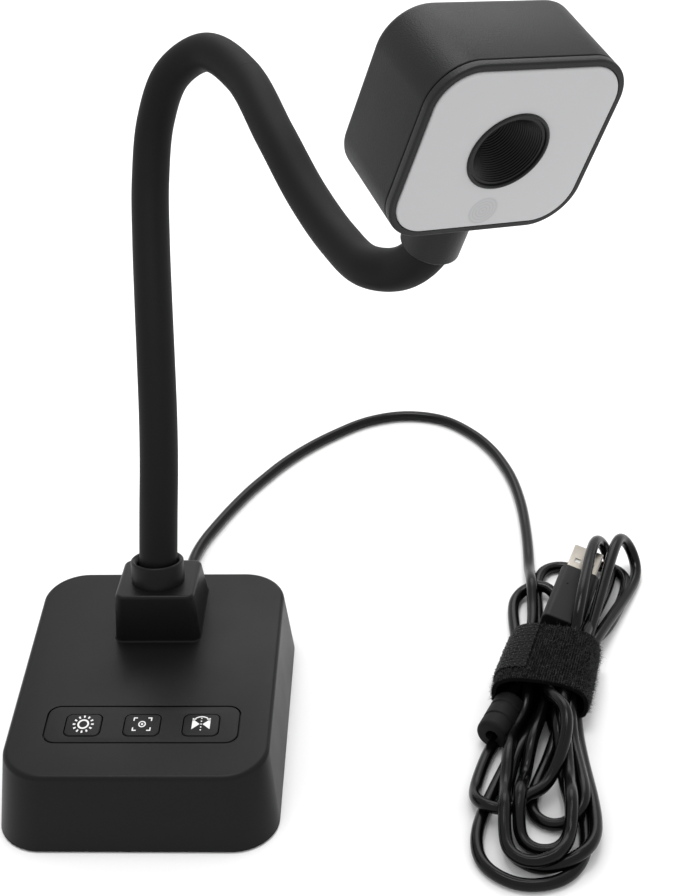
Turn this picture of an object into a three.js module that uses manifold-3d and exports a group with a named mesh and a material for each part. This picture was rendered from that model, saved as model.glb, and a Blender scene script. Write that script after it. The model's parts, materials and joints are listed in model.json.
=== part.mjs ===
// Desktop video magnifier: a weighted base with three buttons, a gooseneck neck, a square lit
// camera head and a USB lead tied in a hank. Millimetres, +Z up, +X right, -Y towards the user.
// The origin is on the desk, under the middle of the base.
import * as THREE from "three";
import { mergeVertices } from "three/addons/utils/BufferGeometryUtils.js";
import Module from "manifold-3d";

const wasm = await Module();
wasm.setup();

// ---------- driving dimensions ----------

const GAP = 0.3; // between pieces that touch or slide
const CORNER_STEPS = 5; // segments in a quarter-round corner
const FEATURE_X = 0.8; // centre line of the pedestal, the neck and the buttons

const BASE = {
  width: 95.6,
  depth: 121,
  height: 27.7,
  topWidth: 89.9,
  topDepth: 111.6,
  topShift: 2.35, // the front wall slopes more than the rear one
  corner: 15.5,
  edge: 1.6,
  wall: 2.4,
  lift: 0.8, // the shell hangs clear of the desk, on the pad
};
const PLATE_THICKNESS = 3;
const PAD = { width: 82, depth: 104, corner: 11, thickness: 0.5 };
const BALLAST = { width: 64, depth: 84, corner: 6, height: 11 };
const PANEL = { width: 66, depth: 18, corner: 4.2, thickness: 0.9, y: -27.4, groove: 0.35 };
const BUTTON = { width: 12.2, depth: 10.8, corner: 2.2, proud: 0.4, pitch: 20.2, y: -28 };
const FLANGE = { extra: 1.8, thickness: 0.8, below: 0.4 };
const BOARD = { width: 68, depth: 32, thickness: 1.6, top: 17.6, y: -27 };
const SWITCH = { side: 6, height: 3.1, plungerRadius: 1.65, plungerTop: 22.4 };
const POST = { x: 36.5, front: -42, rear: 45, radius: 3.6, bore: 1.6 };
const SCREW = { headRadius: 2.7, headHeight: 1.5, shankRadius: 1.2, length: 11 };

const PEDESTAL = {
  width: 31,
  topWidth: 28.4,
  front: 16.8,
  rear: 50,
  topFront: { y: 18.1, z: 47.2 },
  topRear: { y: 47, z: 42.4 },
  edge: 1.3,
  wall: 2.6,
};
const NECK_ROOT = { y: 31, z: 43.9, lean: 13.6 }; // where the neck's axis leaves the pedestal
const SOCKET = { radius: 9.6, height: 9.2, dish: 1.4 };
const NUT = { radius: 8.2, thickness: 4 };

const NECK = { sleeveRadius: 6.9, coreRadius: 4, wall: 2.5, segments: 7, jointGap: 3.4 };
const NECK_SIDES = 12;
const CORE_SIDES = 8;
const NECK_STEPS = 7;
// The neck's centre line from the socket's mouth to the head's collar.
const NECK_LINE = [
  [2.2, 39, 71],
  [2.6, 46.5, 84.5],
  [2.3, 56.3, 97.5],
  [1.2, 70.5, 114],
  [-0.2, 86, 130.2],
  [-1.5, 101.8, 146.6],
  [-2, 116.5, 163.8],
  [0.2, 127.7, 182.5],
  [7, 130.5, 198.7],
  [20.6, 124.7, 209.4],
  [35.2, 106.6, 207.4],
  [48, 78.5, 196.8],
  [59.5, 55, 185.6],
  [70.5, 34.6, 179],
  [79.5, 20.5, 177],
  [90.4, 11.4, 180.6],
];

const HEAD = {
  face: [121.1, -16.9, 231.8], // middle of the front face
  turn: { yaw: 28.4, tilt: 18.6, roll: 10.6 }, // degrees
  width: 66,
  height: 59.5,
  depth: 31.6,
  rearWidth: 66,
  rearHeight: 57.6,
  corner: 14.1,
  rim: 2,
  rearEdge: 2.2,
  bezelDepth: 2.8,
};
const DIFFUSER = { thickness: 2, proud: 0.4 };
const LED = { board: 1.2, boardTop: -4.2, size: 2.8, height: 0.9, perSide: 4 };
const EYE = { ringOuter: 13.2, ringInner: 12, proud: 1.3, funnelDepth: 12.5, throat: 4.4, steps: 5 };
const BARREL = { radius: 4, bore: 3, front: -13.2, length: 6 };
const HOLDER = { side: 14, front: -14.6, rear: -21.6, bore: 4.4 };
const CAMERA_BOARD = { side: 34, thickness: 1.2, front: -21.9 };
const TOUCH = { radius: 4.6, thickness: 0.4, y: -22 };
const COLLAR = {
  radius: 9.4,
  depthIn: 15.2, // behind the face
  top: -29.9,
  bottom: -50,
  spigot: 5.6,
  mouthBore: 7.6,
  mouthDepth: 3,
};
const STUD = { radius: 4.4, top: -33, bottom: -47.4 };

const CABLE = { radius: 2.2, sides: 8, steps: 64 };
const GLAND = { at: [2.4, 59.8, 10.5], turn: 1, rise: -4, radius: 3.8, tip: 2.9, length: 9 };
// The lead's route from the gland to the hank: down to the desk, then round on it.
const CABLE_ROUTE = [
  [2.6, 69.3, 9.8],
  [2.7, 76, 8.6],
  [2.8, 84, 5.8],
  [3, 92, 3.2],
  [3.4, 100, 2.3],
  [4.6, 107, 2.3],
  [7.1, 115.4, 2.3],
  [10.5, 123.9, 2.3],
  [14.2, 132.6, 2.3],
  [18.4, 141.5, 2.3],
  [23.2, 150.8, 2.3],
  [29, 160.4, 2.3],
  [35.3, 170.2, 2.3],
  [45, 182.4, 2.3],
  [57.5, 194.6, 2.3],
  [73, 206, 2.3],
  [90, 210.5, 2.3],
  [107, 206.5, 2.3],
  [120.3, 194, 2.3],
  [128.2, 181.2, 2.3],
  [133, 169, 2.3],
  [136.2, 157.4, 2.3],
  [138.1, 146, 2.3],
  [139.3, 134.8, 2.3],
  [139.8, 124, 2.5],
  [140, 113, 3],
  [139.9, 102, 3.6],
  [139.6, 91.3, 4.2],
];

const HANK = { at: [142, 22], turn: -12.5, bottom: 0.2, lobeTop: 12 };
// Outline of the folded turns in the hank's own frame, with the tie around its middle.
const HANK_UPPER = [
  [-14, 15.6],
  [-19.5, 30],
  [-21, 48],
  [-17, 62],
  [-6, 66],
  [5, 80],
  [13, 90],
  [25, 87],
  [27, 66],
  [23, 40],
  [16, 15.6],
];
const HANK_LOWER = [
  [-14, -17.6],
  [16, -17.6],
  [25, -42],
  [30, -68],
  [26, -93],
  [12, -106.5],
  [-4, -100],
  [-13, -84],
  [-18, -60],
  [-18.5, -36],
];
const TIE = { width: 35, height: 18.8, thickness: 1.5, front: -17, rear: 15, bottom: 0.2 };
const PLUG = {
  x: 1,
  turn: 5, // degrees, towards the hank's right
  roll: 14, // degrees, its left side up
  grip: [15.4, 33, 8],
  gripStart: 24,
  bottom: 7,
  shell: [12, 15.5, 4.5],
  shellWall: 0.35,
  tongue: [10.4, 13, 1.8],
};
const FERRITE = { radius: 5.2, length: 24, at: [-12.4, -30, 6.2], turn: 10 };

// ---------- materials ----------

const finish = (color, roughness, metalness = 0) => () =>
  new THREE.MeshStandardMaterial({ color, roughness, metalness });
const satinBlack = finish(0x1b1c1e, 0.55);
const buttonBlack = finish(0x141517, 0.5);
const rubberBlack = finish(0x0e0e0f, 0.9);
const glossBlack = finish(0x0c0c0d, 0.3);
const fabricBlack = finish(0x0a0a0a, 1);
const milkWhite = finish(0xdadbd8, 0.6);
const steel = finish(0x9a9c9e, 0.35, 1);
const nickel = finish(0xb9b2a6, 0.3, 1);
const boardGreen = finish(0x1d5b34, 0.6);
const lensGlass = finish(0x0b1018, 0.05);

// ---------- geometry helpers ----------

const degrees = THREE.MathUtils.degToRad;

function solidOf(geometry) {
  const bare = geometry.clone();
  bare.deleteAttribute("normal");
  bare.deleteAttribute("uv");
  const merged = mergeVertices(bare, 1e-4);
  const index = merged.index.array;
  const kept = [];
  for (let i = 0; i < index.length; i += 3) {
    const [a, b, c] = [index[i], index[i + 1], index[i + 2]];
    if (a !== b && b !== c && a !== c) kept.push(a, b, c);
  }
  const vertProperties = new Float32Array(merged.attributes.position.array);
  const triVerts = new Uint32Array(kept);
  return new wasm.Manifold(new wasm.Mesh({ numProp: 3, vertProperties, triVerts }));
}

function geometryOf(solid) {
  const mesh = solid.getMesh();
  const geometry = new THREE.BufferGeometry();
  geometry.setAttribute("position", new THREE.BufferAttribute(mesh.vertProperties, 3));
  geometry.setIndex(new THREE.BufferAttribute(mesh.triVerts, 1));
  return geometry;
}

function cut(geometry, ...tools) {
  let solid = solidOf(geometry);
  for (const tool of tools) solid = solid.subtract(solidOf(tool));
  return geometryOf(solid);
}

function join(geometry, ...others) {
  let solid = solidOf(geometry);
  for (const other of others) solid = solid.add(solidOf(other));
  return geometryOf(solid);
}

function roundedRect(width, height, radius) {
  const [x, y] = [width / 2 - radius, height / 2 - radius];
  const quarter = Math.PI / 2;
  return new THREE.Shape()
    .absarc(x, y, radius, 0, quarter)
    .absarc(-x, y, radius, quarter, 2 * quarter)
    .absarc(-x, -y, radius, 2 * quarter, 3 * quarter)
    .absarc(x, -y, radius, 3 * quarter, 4 * quarter);
}

// A plate with its outline in XY and its underside at z = bottom; edge bevels both rims.
function slab(outline, bottom, top, edge = 0, edgeSteps = 1) {
  const geometry = new THREE.ExtrudeGeometry(outline, {
    depth: top - bottom - 2 * edge,
    bevelEnabled: edge > 0,
    bevelThickness: edge,
    bevelSize: edge,
    bevelOffset: -edge,
    bevelSegments: edgeSteps,
    curveSegments: CORNER_STEPS,
  });
  return geometry.translate(0, 0, bottom + edge);
}

// Scales each level of a block in X and Y from 1 at z = from to the given factors at z = to.
function drafted(geometry, from, to, scaleX, scaleY, shiftY = 0) {
  const p = geometry.attributes.position;
  for (let i = 0; i < p.count; i += 1) {
    const t = (p.getZ(i) - from) / (to - from);
    p.setX(i, p.getX(i) * (1 + (scaleX - 1) * t));
    p.setY(i, p.getY(i) * (1 + (scaleY - 1) * t) + shiftY * t);
  }
  return geometry;
}

function box(x0, x1, y0, y1, z0, z1) {
  const geometry = new THREE.BoxGeometry(x1 - x0, y1 - y0, z1 - z0);
  return geometry.translate((x0 + x1) / 2, (y0 + y1) / 2, (z0 + z1) / 2);
}

// A turned piece about Z; the profile is [radius, z] pairs, up the outside.
function turned(profile, sides = 24) {
  const points = profile.map(([r, z]) => new THREE.Vector2(r, z));
  return new THREE.LatheGeometry(points, sides).rotateX(Math.PI / 2);
}

const rod = (radius, bottom, top, sides = 24) =>
  turned([[0, bottom], [radius, bottom], [radius, top], [0, top]], sides);

const tube = (outer, inner, bottom, top, sides = 24) =>
  turned([[inner, bottom], [outer, bottom], [outer, top], [inner, top], [inner, bottom]], sides);

function circle(radius, sides) {
  const points = [];
  for (let i = 0; i < sides; i += 1) {
    const angle = (2 * Math.PI * i) / sides;
    points.push(new THREE.Vector2(radius * Math.cos(angle), radius * Math.sin(angle)));
  }
  return points;
}

// A stretch of a curve between two arc lengths, as a curve of its own.
class Stretch extends THREE.Curve {
  constructor(curve, start, end) {
    super();
    const whole = curve.getLength();
    Object.assign(this, { curve, u0: start / whole, u1: end / whole });
  }
  getPoint(t, target = new THREE.Vector3()) {
    return this.curve.getPointAt(this.u0 + (this.u1 - this.u0) * t, target);
  }
}

function swept(curve, section, steps) {
  return new THREE.ExtrudeGeometry(section, { steps, extrudePath: curve, bevelEnabled: false });
}

function piece(parent, name, geometry, material) {
  const mesh = new THREE.Mesh(geometry, material());
  mesh.name = name;
  parent.add(mesh);
  return mesh;
}

// ---------- base ----------

const topFaceScale = [BASE.topWidth / BASE.width, BASE.topDepth / BASE.depth];

function baseBlock(inset, bottom, top, edge, edgeSteps) {
  const outline = roundedRect(BASE.width - 2 * inset, BASE.depth - 2 * inset, BASE.corner - inset);
  return drafted(slab(outline, bottom, top, edge, edgeSteps), 0, BASE.height, ...topFaceScale, BASE.topShift);
}

const buttonNames = ["brightness", "focus", "mirror"];
const buttonX = (i) => FEATURE_X + (i - 1) * BUTTON.pitch;
const postPlaces = [-POST.x, POST.x].flatMap((x) => [
  [x, POST.front],
  [x, POST.rear],
]);

function baseShell() {
  const ceiling = BASE.height - BASE.wall;
  const below = -8;
  const recessFloor = BASE.height - PANEL.thickness - GAP;
  const recess = roundedRect(
    PANEL.width + 2 * PANEL.groove,
    PANEL.depth + 2 * PANEL.groove,
    PANEL.corner + PANEL.groove,
  );
  const well = roundedRect(PANEL.width - 5, PANEL.depth - 2.4, PANEL.corner - 1);
  const hollow = cut(
    baseBlock(0, below, BASE.height, BASE.edge, 3),
    box(-80, 80, -80, 80, below - 1, BASE.lift),
    baseBlock(BASE.wall, below, ceiling, 0),
    slab(recess, recessFloor, BASE.height + 2).translate(FEATURE_X, PANEL.y, 0),
    slab(well, ceiling - 2, BASE.height + 1).translate(FEATURE_X, PANEL.y, 0),
    rod(6, ceiling - 2, BASE.height + 2).translate(FEATURE_X, NECK_ROOT.y, 0),
    rod(GLAND.radius - 0.9, -8, 4, 16).applyMatrix4(glandMatrix()),
  );
  const posts = postPlaces.map(([x, y]) =>
    tube(POST.radius, POST.bore, BASE.lift + PLATE_THICKNESS + GAP, ceiling + 0.8, 12).translate(x, y, 0),
  );
  return join(hollow, ...posts);
}

function basePlate() {
  const top = BASE.lift + PLATE_THICKNESS;
  const holes = postPlaces.flatMap(([x, y]) => [
    rod(SCREW.shankRadius + GAP, 0, top + 1, 10).translate(x, y, 0),
    rod(SCREW.headRadius + GAP, 0, BASE.lift + SCREW.headHeight + GAP, 12).translate(x, y, 0),
  ]);
  return cut(baseBlock(BASE.wall + GAP, BASE.lift, top, 0), ...holes);
}

function baseScrew() {
  const head = BASE.lift + GAP / 2;
  const shoulder = head + SCREW.headHeight;
  return turned(
    [
      [0, head],
      [SCREW.headRadius, head],
      [SCREW.headRadius, shoulder],
      [SCREW.shankRadius, shoulder],
      [SCREW.shankRadius, shoulder + SCREW.length],
      [0, shoulder + SCREW.length],
    ],
    10,
  );
}

function buttonPanel() {
  const windows = buttonNames.map((_, i) => {
    const opening = roundedRect(BUTTON.width + 0.6, BUTTON.depth + 0.6, BUTTON.corner + 0.3);
    return slab(opening, BASE.height - 2, BASE.height + 1).translate(buttonX(i), BUTTON.y, 0);
  });
  const plate = slab(
    roundedRect(PANEL.width, PANEL.depth, PANEL.corner),
    BASE.height - PANEL.thickness,
    BASE.height,
  );
  return cut(plate.translate(FEATURE_X, PANEL.y, 0), ...windows);
}

function buttonCap() {
  const top = BASE.height + BUTTON.proud;
  const flangeTop = BASE.height - PANEL.thickness - FLANGE.below;
  const cap = slab(
    roundedRect(BUTTON.width, BUTTON.depth, BUTTON.corner),
    flangeTop - FLANGE.thickness,
    top,
    0.4,
  );
  const flange = slab(
    roundedRect(BUTTON.width + FLANGE.extra, BUTTON.depth + FLANGE.extra, BUTTON.corner),
    flangeTop - FLANGE.thickness,
    flangeTop,
  );
  const stem = rod(1.8, SWITCH.plungerTop + GAP, flangeTop - 0.4, 12);
  return join(cap, flange, stem);
}

function tactSwitch() {
  const half = SWITCH.side / 2;
  const bottom = BOARD.top + GAP;
  const top = bottom + SWITCH.height;
  const well = rod(SWITCH.plungerRadius + GAP, top - 2, top + 1, 12);
  return cut(box(-half, half, -half, half, bottom, top), well);
}

function switchPlunger() {
  const top = BOARD.top + GAP + SWITCH.height;
  return rod(SWITCH.plungerRadius, top - 1.2, SWITCH.plungerTop, 12);
}

function controlBoard() {
  const outline = roundedRect(BOARD.width, BOARD.depth, 1.5);
  const board = slab(outline, BOARD.top - BOARD.thickness, BOARD.top).translate(FEATURE_X, BOARD.y, 0);
  const clearance = POST.radius + 0.5;
  const notches = postPlaces.map(([x, y]) => rod(clearance, 0, 30, 12).translate(x, y, 0));
  return cut(board, ...notches);
}

function makeBase() {
  const base = new THREE.Group();
  const plateTop = BASE.lift + PLATE_THICKNESS;
  piece(base, "base_shell", baseShell(), satinBlack);
  piece(base, "base_plate", basePlate(), satinBlack);
  piece(base, "cable_gland", cableGland().applyMatrix4(glandMatrix()), rubberBlack);
  const padOutline = roundedRect(PAD.width, PAD.depth, PAD.corner);
  const ballastOutline = roundedRect(BALLAST.width, BALLAST.depth, BALLAST.corner);
  const ballast = slab(ballastOutline, plateTop + GAP, plateTop + BALLAST.height);
  piece(base, "anti_slip_pad", slab(padOutline, 0, PAD.thickness), rubberBlack);
  piece(base, "ballast_weight", ballast, steel);
  postPlaces.forEach(([x, y], i) => {
    piece(base, `base_screw_${i + 1}`, baseScrew(), steel).position.set(x, y, 0);
  });
  piece(base, "control_board", controlBoard(), boardGreen);
  piece(base, "button_panel", buttonPanel(), satinBlack);
  buttonNames.forEach((name, i) => {
    const column = new THREE.Group();
    column.position.set(buttonX(i), BUTTON.y, 0);
    piece(column, `${name}_button`, buttonCap(), buttonBlack);
    piece(column, `${name}_switch`, tactSwitch(), steel);
    piece(column, `${name}_plunger`, switchPlunger(), rubberBlack);
    base.add(column);
  });
  return base;
}

// ---------- pedestal and the neck's root ----------

// The pedestal's side profile, pulled in by inset, extruded across its width.
function pedestalBlock(inset, bottom, edge) {
  const { front, rear, topFront, topRear, width, topWidth } = PEDESTAL;
  const profile = new THREE.Shape([
    new THREE.Vector2(front + inset, bottom),
    new THREE.Vector2(rear - inset, bottom),
    new THREE.Vector2(topRear.y - inset, topRear.z - inset),
    new THREE.Vector2(topFront.y + inset, topFront.z - inset),
  ]);
  const across = slab(profile, -width / 2 + inset, width / 2 - inset, edge);
  across.rotateZ(Math.PI / 2).rotateY(Math.PI / 2);
  return across;
}

function pedestalShell() {
  const bottom = BASE.height + GAP;
  const deep = 6;
  const taper = (geometry) => {
    const p = geometry.attributes.position;
    for (let i = 0; i < p.count; i += 1) {
      const t = (p.getZ(i) - bottom) / (PEDESTAL.topFront.z - bottom);
      p.setX(i, p.getX(i) * (1 + (PEDESTAL.topWidth / PEDESTAL.width - 1) * t));
    }
    return geometry;
  };
  const outer = taper(pedestalBlock(0, bottom - deep, PEDESTAL.edge));
  const inner = taper(pedestalBlock(PEDESTAL.wall, bottom - deep - 2, 0));
  const placed = (geometry) => geometry.translate(FEATURE_X, 0, 0);
  const neckHole = rod(NECK.coreRadius + 0.8, -8, 8).applyMatrix4(neckRootMatrix());
  const seat = rod(SOCKET.radius + GAP, 0, 12).applyMatrix4(neckRootMatrix());
  return cut(
    placed(outer),
    box(-40, 40, 0, 80, bottom - deep - 3, bottom),
    placed(inner),
    neckHole,
    seat,
  );
}

function neckRootMatrix() {
  const turn = new THREE.Matrix4().makeRotationX(degrees(-NECK_ROOT.lean));
  return turn.setPosition(FEATURE_X, NECK_ROOT.y, NECK_ROOT.z);
}

function glandMatrix() {
  const turn = new THREE.Euler(degrees(-90 + GLAND.rise), 0, degrees(-GLAND.turn), "ZXY");
  return new THREE.Matrix4().makeRotationFromEuler(turn).setPosition(...GLAND.at);
}

function neckSocket() {
  const { radius, height, dish } = SOCKET;
  const bore = NECK.sleeveRadius + 0.5;
  return turned(
    [
      [bore, GAP],
      [radius, GAP],
      [radius, height - 0.6],
      [radius - 0.6, height],
      [bore + dish, height],
      [bore, height - dish],
      [bore, GAP],
    ],
    28,
  );
}

function lockNut() {
  const bottom = -PEDESTAL.wall - 0.9 - NUT.thickness;
  const top = bottom + NUT.thickness;
  return cut(rod(NUT.radius, bottom, top, 6), rod(NECK.coreRadius + GAP, bottom - 1, top + 1));
}

function cableGland() {
  const { radius, tip, length } = GLAND;
  return turned(
    [
      [0, 0.4],
      [radius, 0.4],
      [radius, 2],
      [radius - 0.7, 2.6],
      [tip, length - 0.6],
      [tip - 0.5, length],
      [0, length],
    ],
    16,
  );
}

function makePedestal() {
  const group = new THREE.Group();
  piece(group, "pedestal", pedestalShell(), satinBlack);
  piece(group, "neck_socket", neckSocket().applyMatrix4(neckRootMatrix()), satinBlack);
  piece(group, "neck_lock_nut", lockNut().applyMatrix4(neckRootMatrix()), steel);
  return group;
}

// ---------- head frame ----------

// Takes the face's own frame, with Z out of the face and Y up it, to the row frame.
function faceMatrix() {
  const { yaw, tilt, roll } = HEAD.turn;
  const turn = new THREE.Euler(degrees(tilt), degrees(roll), degrees(yaw), "ZXY");
  const head = new THREE.Matrix4().makeRotationFromEuler(turn).setPosition(...HEAD.face);
  return head.multiply(new THREE.Matrix4().makeRotationX(Math.PI / 2));
}

// Takes the collar's frame, with Z up the collar's axis, to the row frame.
function collarMatrix() {
  const upright = new THREE.Matrix4().makeRotationX(-Math.PI / 2).setPosition(0, 0, -COLLAR.depthIn);
  return faceMatrix().multiply(upright);
}

// ---------- neck ----------

function neckCurve() {
  const rootPoint = (z) => new THREE.Vector3(0, 0, z).applyMatrix4(neckRootMatrix());
  const collarPoint = (z) => new THREE.Vector3(0, 0, z).applyMatrix4(collarMatrix());
  return new THREE.CatmullRomCurve3([
    rootPoint(-11),
    rootPoint(0),
    rootPoint(12),
    ...NECK_LINE.map((p) => new THREE.Vector3(...p)),
    collarPoint(COLLAR.bottom),
    collarPoint(COLLAR.bottom + 12),
  ]);
}

function makeNeck() {
  const neck = new THREE.Group();
  const curve = neckCurve();
  curve.arcLengthDivisions = 800;
  const length = curve.getLength();
  const sleeveStart = 12.5; // arc length at the socket's floor
  const sleeveEnd = length - 12 + 1.6; // just inside the collar's mouth
  const coreStart = 2;
  const pitch = (sleeveEnd - sleeveStart) / NECK.segments;
  const half = NECK.jointGap / 2;
  const ring = new THREE.Shape(circle(NECK.sleeveRadius, NECK_SIDES));
  ring.holes.push(new THREE.Path(circle(NECK.sleeveRadius - NECK.wall, CORE_SIDES)));
  const wire = new THREE.Shape(circle(NECK.coreRadius - 0.1, CORE_SIDES));
  for (let i = 0; i < NECK.segments; i += 1) {
    const first = i === 0;
    const last = i === NECK.segments - 1;
    const start = sleeveStart + i * pitch + (first ? 0 : half);
    const end = sleeveStart + (i + 1) * pitch - (last ? 0 : half);
    const sleeve = swept(new Stretch(curve, start, end), ring, NECK_STEPS);
    const core = swept(new Stretch(curve, first ? coreStart : start, last ? end + 0.6 : end), wire, NECK_STEPS);
    piece(neck, `neck_sleeve_${i + 1}`, sleeve, rubberBlack);
    piece(neck, `gooseneck_core_${i + 1}`, core, steel);
  }
  return neck;
}

// ---------- head ----------

const faceOutline = (inset) =>
  roundedRect(HEAD.width - 2 * inset, HEAD.height - 2 * inset, HEAD.corner - inset);

const rearScale = [HEAD.rearWidth / HEAD.width, HEAD.rearHeight / HEAD.height];

function headBlock(inset, rear, front, edge, edgeSteps) {
  return drafted(slab(faceOutline(inset), rear, front, edge, edgeSteps), 0, -HEAD.depth, ...rearScale);
}

const boardPosts = [
  [-13, -13],
  [13, -13],
  [-13, 13],
  [13, 13],
];

function headHousing() {
  const rear = -HEAD.depth;
  const front = -HEAD.bezelDepth;
  const floor = rear + HEAD.rim;
  const seat = new THREE.Matrix4().makeRotationX(-Math.PI / 2).setPosition(0, 0, -COLLAR.depthIn);
  const collarHole = rod(COLLAR.spigot + GAP, -40, -20).applyMatrix4(seat);
  const hollow = cut(
    headBlock(0, rear, front + 5, HEAD.rearEdge, 3),
    box(-50, 50, -50, 50, front, front + 10),
    headBlock(HEAD.rim, floor, front + 8, 0),
    collarHole,
  );
  const postTop = CAMERA_BOARD.front - CAMERA_BOARD.thickness - GAP;
  const posts = boardPosts.map(([x, y]) => tube(2.4, 0.9, floor - 0.8, postTop, 10).translate(x, y, 0));
  return join(hollow, ...posts);
}

function headBezel() {
  const rear = -HEAD.bezelDepth + GAP;
  return cut(headBlock(0, rear - 4, 0, 0.6), box(-50, 50, -50, 50, rear - 6, rear), headBlock(HEAD.rim, -9, 3, 0));
}

function diffuser() {
  const top = DIFFUSER.proud;
  const plate = headBlock(HEAD.rim + GAP, top - DIFFUSER.thickness, top, 0);
  return cut(plate, rod(EYE.ringOuter + GAP, -5, 3, 32));
}

function ledBoard() {
  const { board, boardTop, size, height, perSide } = LED;
  const plate = cut(
    slab(faceOutline(HEAD.rim + 1.6), boardTop - board, boardTop),
    rod(EYE.ringOuter + 0.8, boardTop - 2 * board, boardTop + 1, 24),
  );
  const [reachX, reachY] = [22, 19.5];
  const leds = [];
  for (let i = 0; i < perSide; i += 1) {
    const along = (2 * i) / (perSide - 1) - 1;
    for (const side of [-1, 1]) {
      leds.push([along * 15, side * reachY], [side * reachX, along * 13]);
    }
  }
  const half = size / 2;
  const dies = leds.map(([x, y]) =>
    box(x - half, x + half, y - half, y + half, boardTop - 0.2, boardTop + height),
  );
  return join(plate, ...dies);
}

function eyeRing() {
  const { ringOuter, ringInner, proud } = EYE;
  return turned(
    [
      [ringInner, -3],
      [ringOuter, -3],
      [ringOuter, proud - 0.4],
      [ringOuter - 0.4, proud],
      [ringInner + 0.3, proud],
      [ringInner, proud - 0.3],
      [ringInner, -3],
    ],
    36,
  );
}

// A funnel with stepped walls that narrows from the ring to the lens.
function lensFunnel() {
  const { ringInner, proud, funnelDepth, throat, steps } = EYE;
  const outer = ringInner - GAP;
  const mouth = proud - 0.5;
  const wide = outer - 0.8;
  const inside = [];
  for (let i = 0; i < steps; i += 1) {
    const radius = wide + ((throat - wide) * i) / (steps - 1);
    inside.push([radius, mouth - (funnelDepth * i) / steps], [radius, mouth - (funnelDepth * (i + 1)) / steps]);
  }
  const rear = mouth - funnelDepth;
  return turned([[throat, rear], [throat + 2, rear], [outer, mouth - 5], [outer, mouth], ...inside], 24);
}

function lensBarrel() {
  const { radius, bore, front, length } = BARREL;
  return tube(radius, bore, front - length, front, 24);
}

function lensElement() {
  const radius = BARREL.bore - 0.15;
  const middle = BARREL.front - 1.6;
  return turned(
    [
      [0, middle - 0.9],
      [radius, middle - 0.5],
      [radius, middle + 0.4],
      [radius * 0.7, middle + 0.9],
      [0, middle + 1.1],
    ],
    24,
  );
}

function lensHolder() {
  const half = HOLDER.side / 2;
  return cut(
    box(-half, half, -half, half, HOLDER.rear, HOLDER.front),
    rod(HOLDER.bore, HOLDER.rear + 1.2, HOLDER.front + 1, 24),
  );
}

function cameraBoard() {
  const { side, thickness, front } = CAMERA_BOARD;
  const holes = boardPosts.map(([x, y]) => rod(1.2, front - 3, front + 1, 10).translate(x, y, 0));
  return cut(slab(roundedRect(side, side, 2), front - thickness, front), ...holes);
}

function boardScrew() {
  const seat = CAMERA_BOARD.front + 0.15;
  return turned(
    [
      [0, seat - 4],
      [0.7, seat - 4],
      [0.7, seat],
      [1.9, seat],
      [1.9, seat + 1.2],
      [0, seat + 1.2],
    ],
    10,
  );
}

function headCollar() {
  const { radius, top, bottom, spigot, mouthBore, mouthDepth } = COLLAR;
  const bore = STUD.radius + 0.4;
  return turned(
    [
      [bore, bottom + mouthDepth],
      [mouthBore, bottom + mouthDepth],
      [mouthBore, bottom],
      [radius - 0.8, bottom],
      [radius, bottom + 0.8],
      [radius, top - 0.5],
      [radius - 0.5, top],
      [spigot, top],
      [spigot, top + 5],
      [bore, top + 5],
      [bore, bottom + mouthDepth],
    ],
    24,
  );
}

function makeHead() {
  const head = new THREE.Group();
  const face = new THREE.Group();
  face.applyMatrix4(faceMatrix());
  head.add(face);
  piece(face, "head_housing", headHousing(), satinBlack);
  piece(face, "head_bezel", headBezel(), satinBlack);
  piece(face, "diffuser", diffuser(), milkWhite);
  piece(face, "led_board", ledBoard(), boardGreen);
  piece(face, "lens_ring", eyeRing(), satinBlack);
  piece(face, "lens_funnel", lensFunnel(), rubberBlack);
  piece(face, "lens_barrel", lensBarrel(), satinBlack);
  piece(face, "lens_element", lensElement(), lensGlass);
  piece(face, "lens_holder", lensHolder(), satinBlack);
  piece(face, "camera_board", cameraBoard(), boardGreen);
  const touchTop = DIFFUSER.proud - DIFFUSER.thickness - GAP;
  piece(face, "touch_sensor", rod(TOUCH.radius, touchTop - TOUCH.thickness, touchTop), nickel).position.y = TOUCH.y;
  boardPosts.slice(0, 2).forEach(([x, y], i) => {
    piece(face, `head_screw_${i + 1}`, boardScrew(), steel).position.set(x, y, 0);
  });
  piece(head, "head_collar", headCollar().applyMatrix4(collarMatrix()), satinBlack);
  piece(head, "neck_stud", rod(STUD.radius, STUD.bottom, STUD.top).applyMatrix4(collarMatrix()), steel);
  return head;
}

// ---------- lead, hank and plug ----------

function leadTube() {
  const points = CABLE_ROUTE.map((p) => new THREE.Vector3(...p));
  const section = new THREE.Shape(circle(CABLE.radius, CABLE.sides));
  return swept(new THREE.CatmullRomCurve3(points), section, CABLE.steps);
}

// A smooth closed outline through the points.
function outlineOf(points) {
  const corners = points.map(([x, y]) => new THREE.Vector3(x, y, 0));
  const curve = new THREE.CatmullRomCurve3(corners, true);
  const steps = 2 * points.length;
  return new THREE.Shape(curve.getPoints(steps).slice(0, steps).map((p) => new THREE.Vector2(p.x, p.y)));
}

const plugMiddle = PLUG.bottom + PLUG.grip[2] / 2;
const shellStart = PLUG.gripStart + PLUG.grip[1] + GAP;

// Turns and rolls a solid of the plug about the middle of its grip's near end.
function tilted(geometry) {
  geometry.translate(-PLUG.x, -PLUG.gripStart, -plugMiddle);
  geometry.rotateY(degrees(PLUG.roll)).rotateZ(degrees(-PLUG.turn));
  return geometry.translate(PLUG.x, PLUG.gripStart, plugMiddle);
}

const plugBlock = (size, start, middle, grow = 0) => {
  const [width, length, height] = size;
  const half = width / 2 + grow;
  const [z0, z1] = [middle - height / 2 - grow, middle + height / 2 + grow];
  return tilted(box(PLUG.x - half, PLUG.x + half, start - grow, start + length + grow, z0, z1));
};

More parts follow.
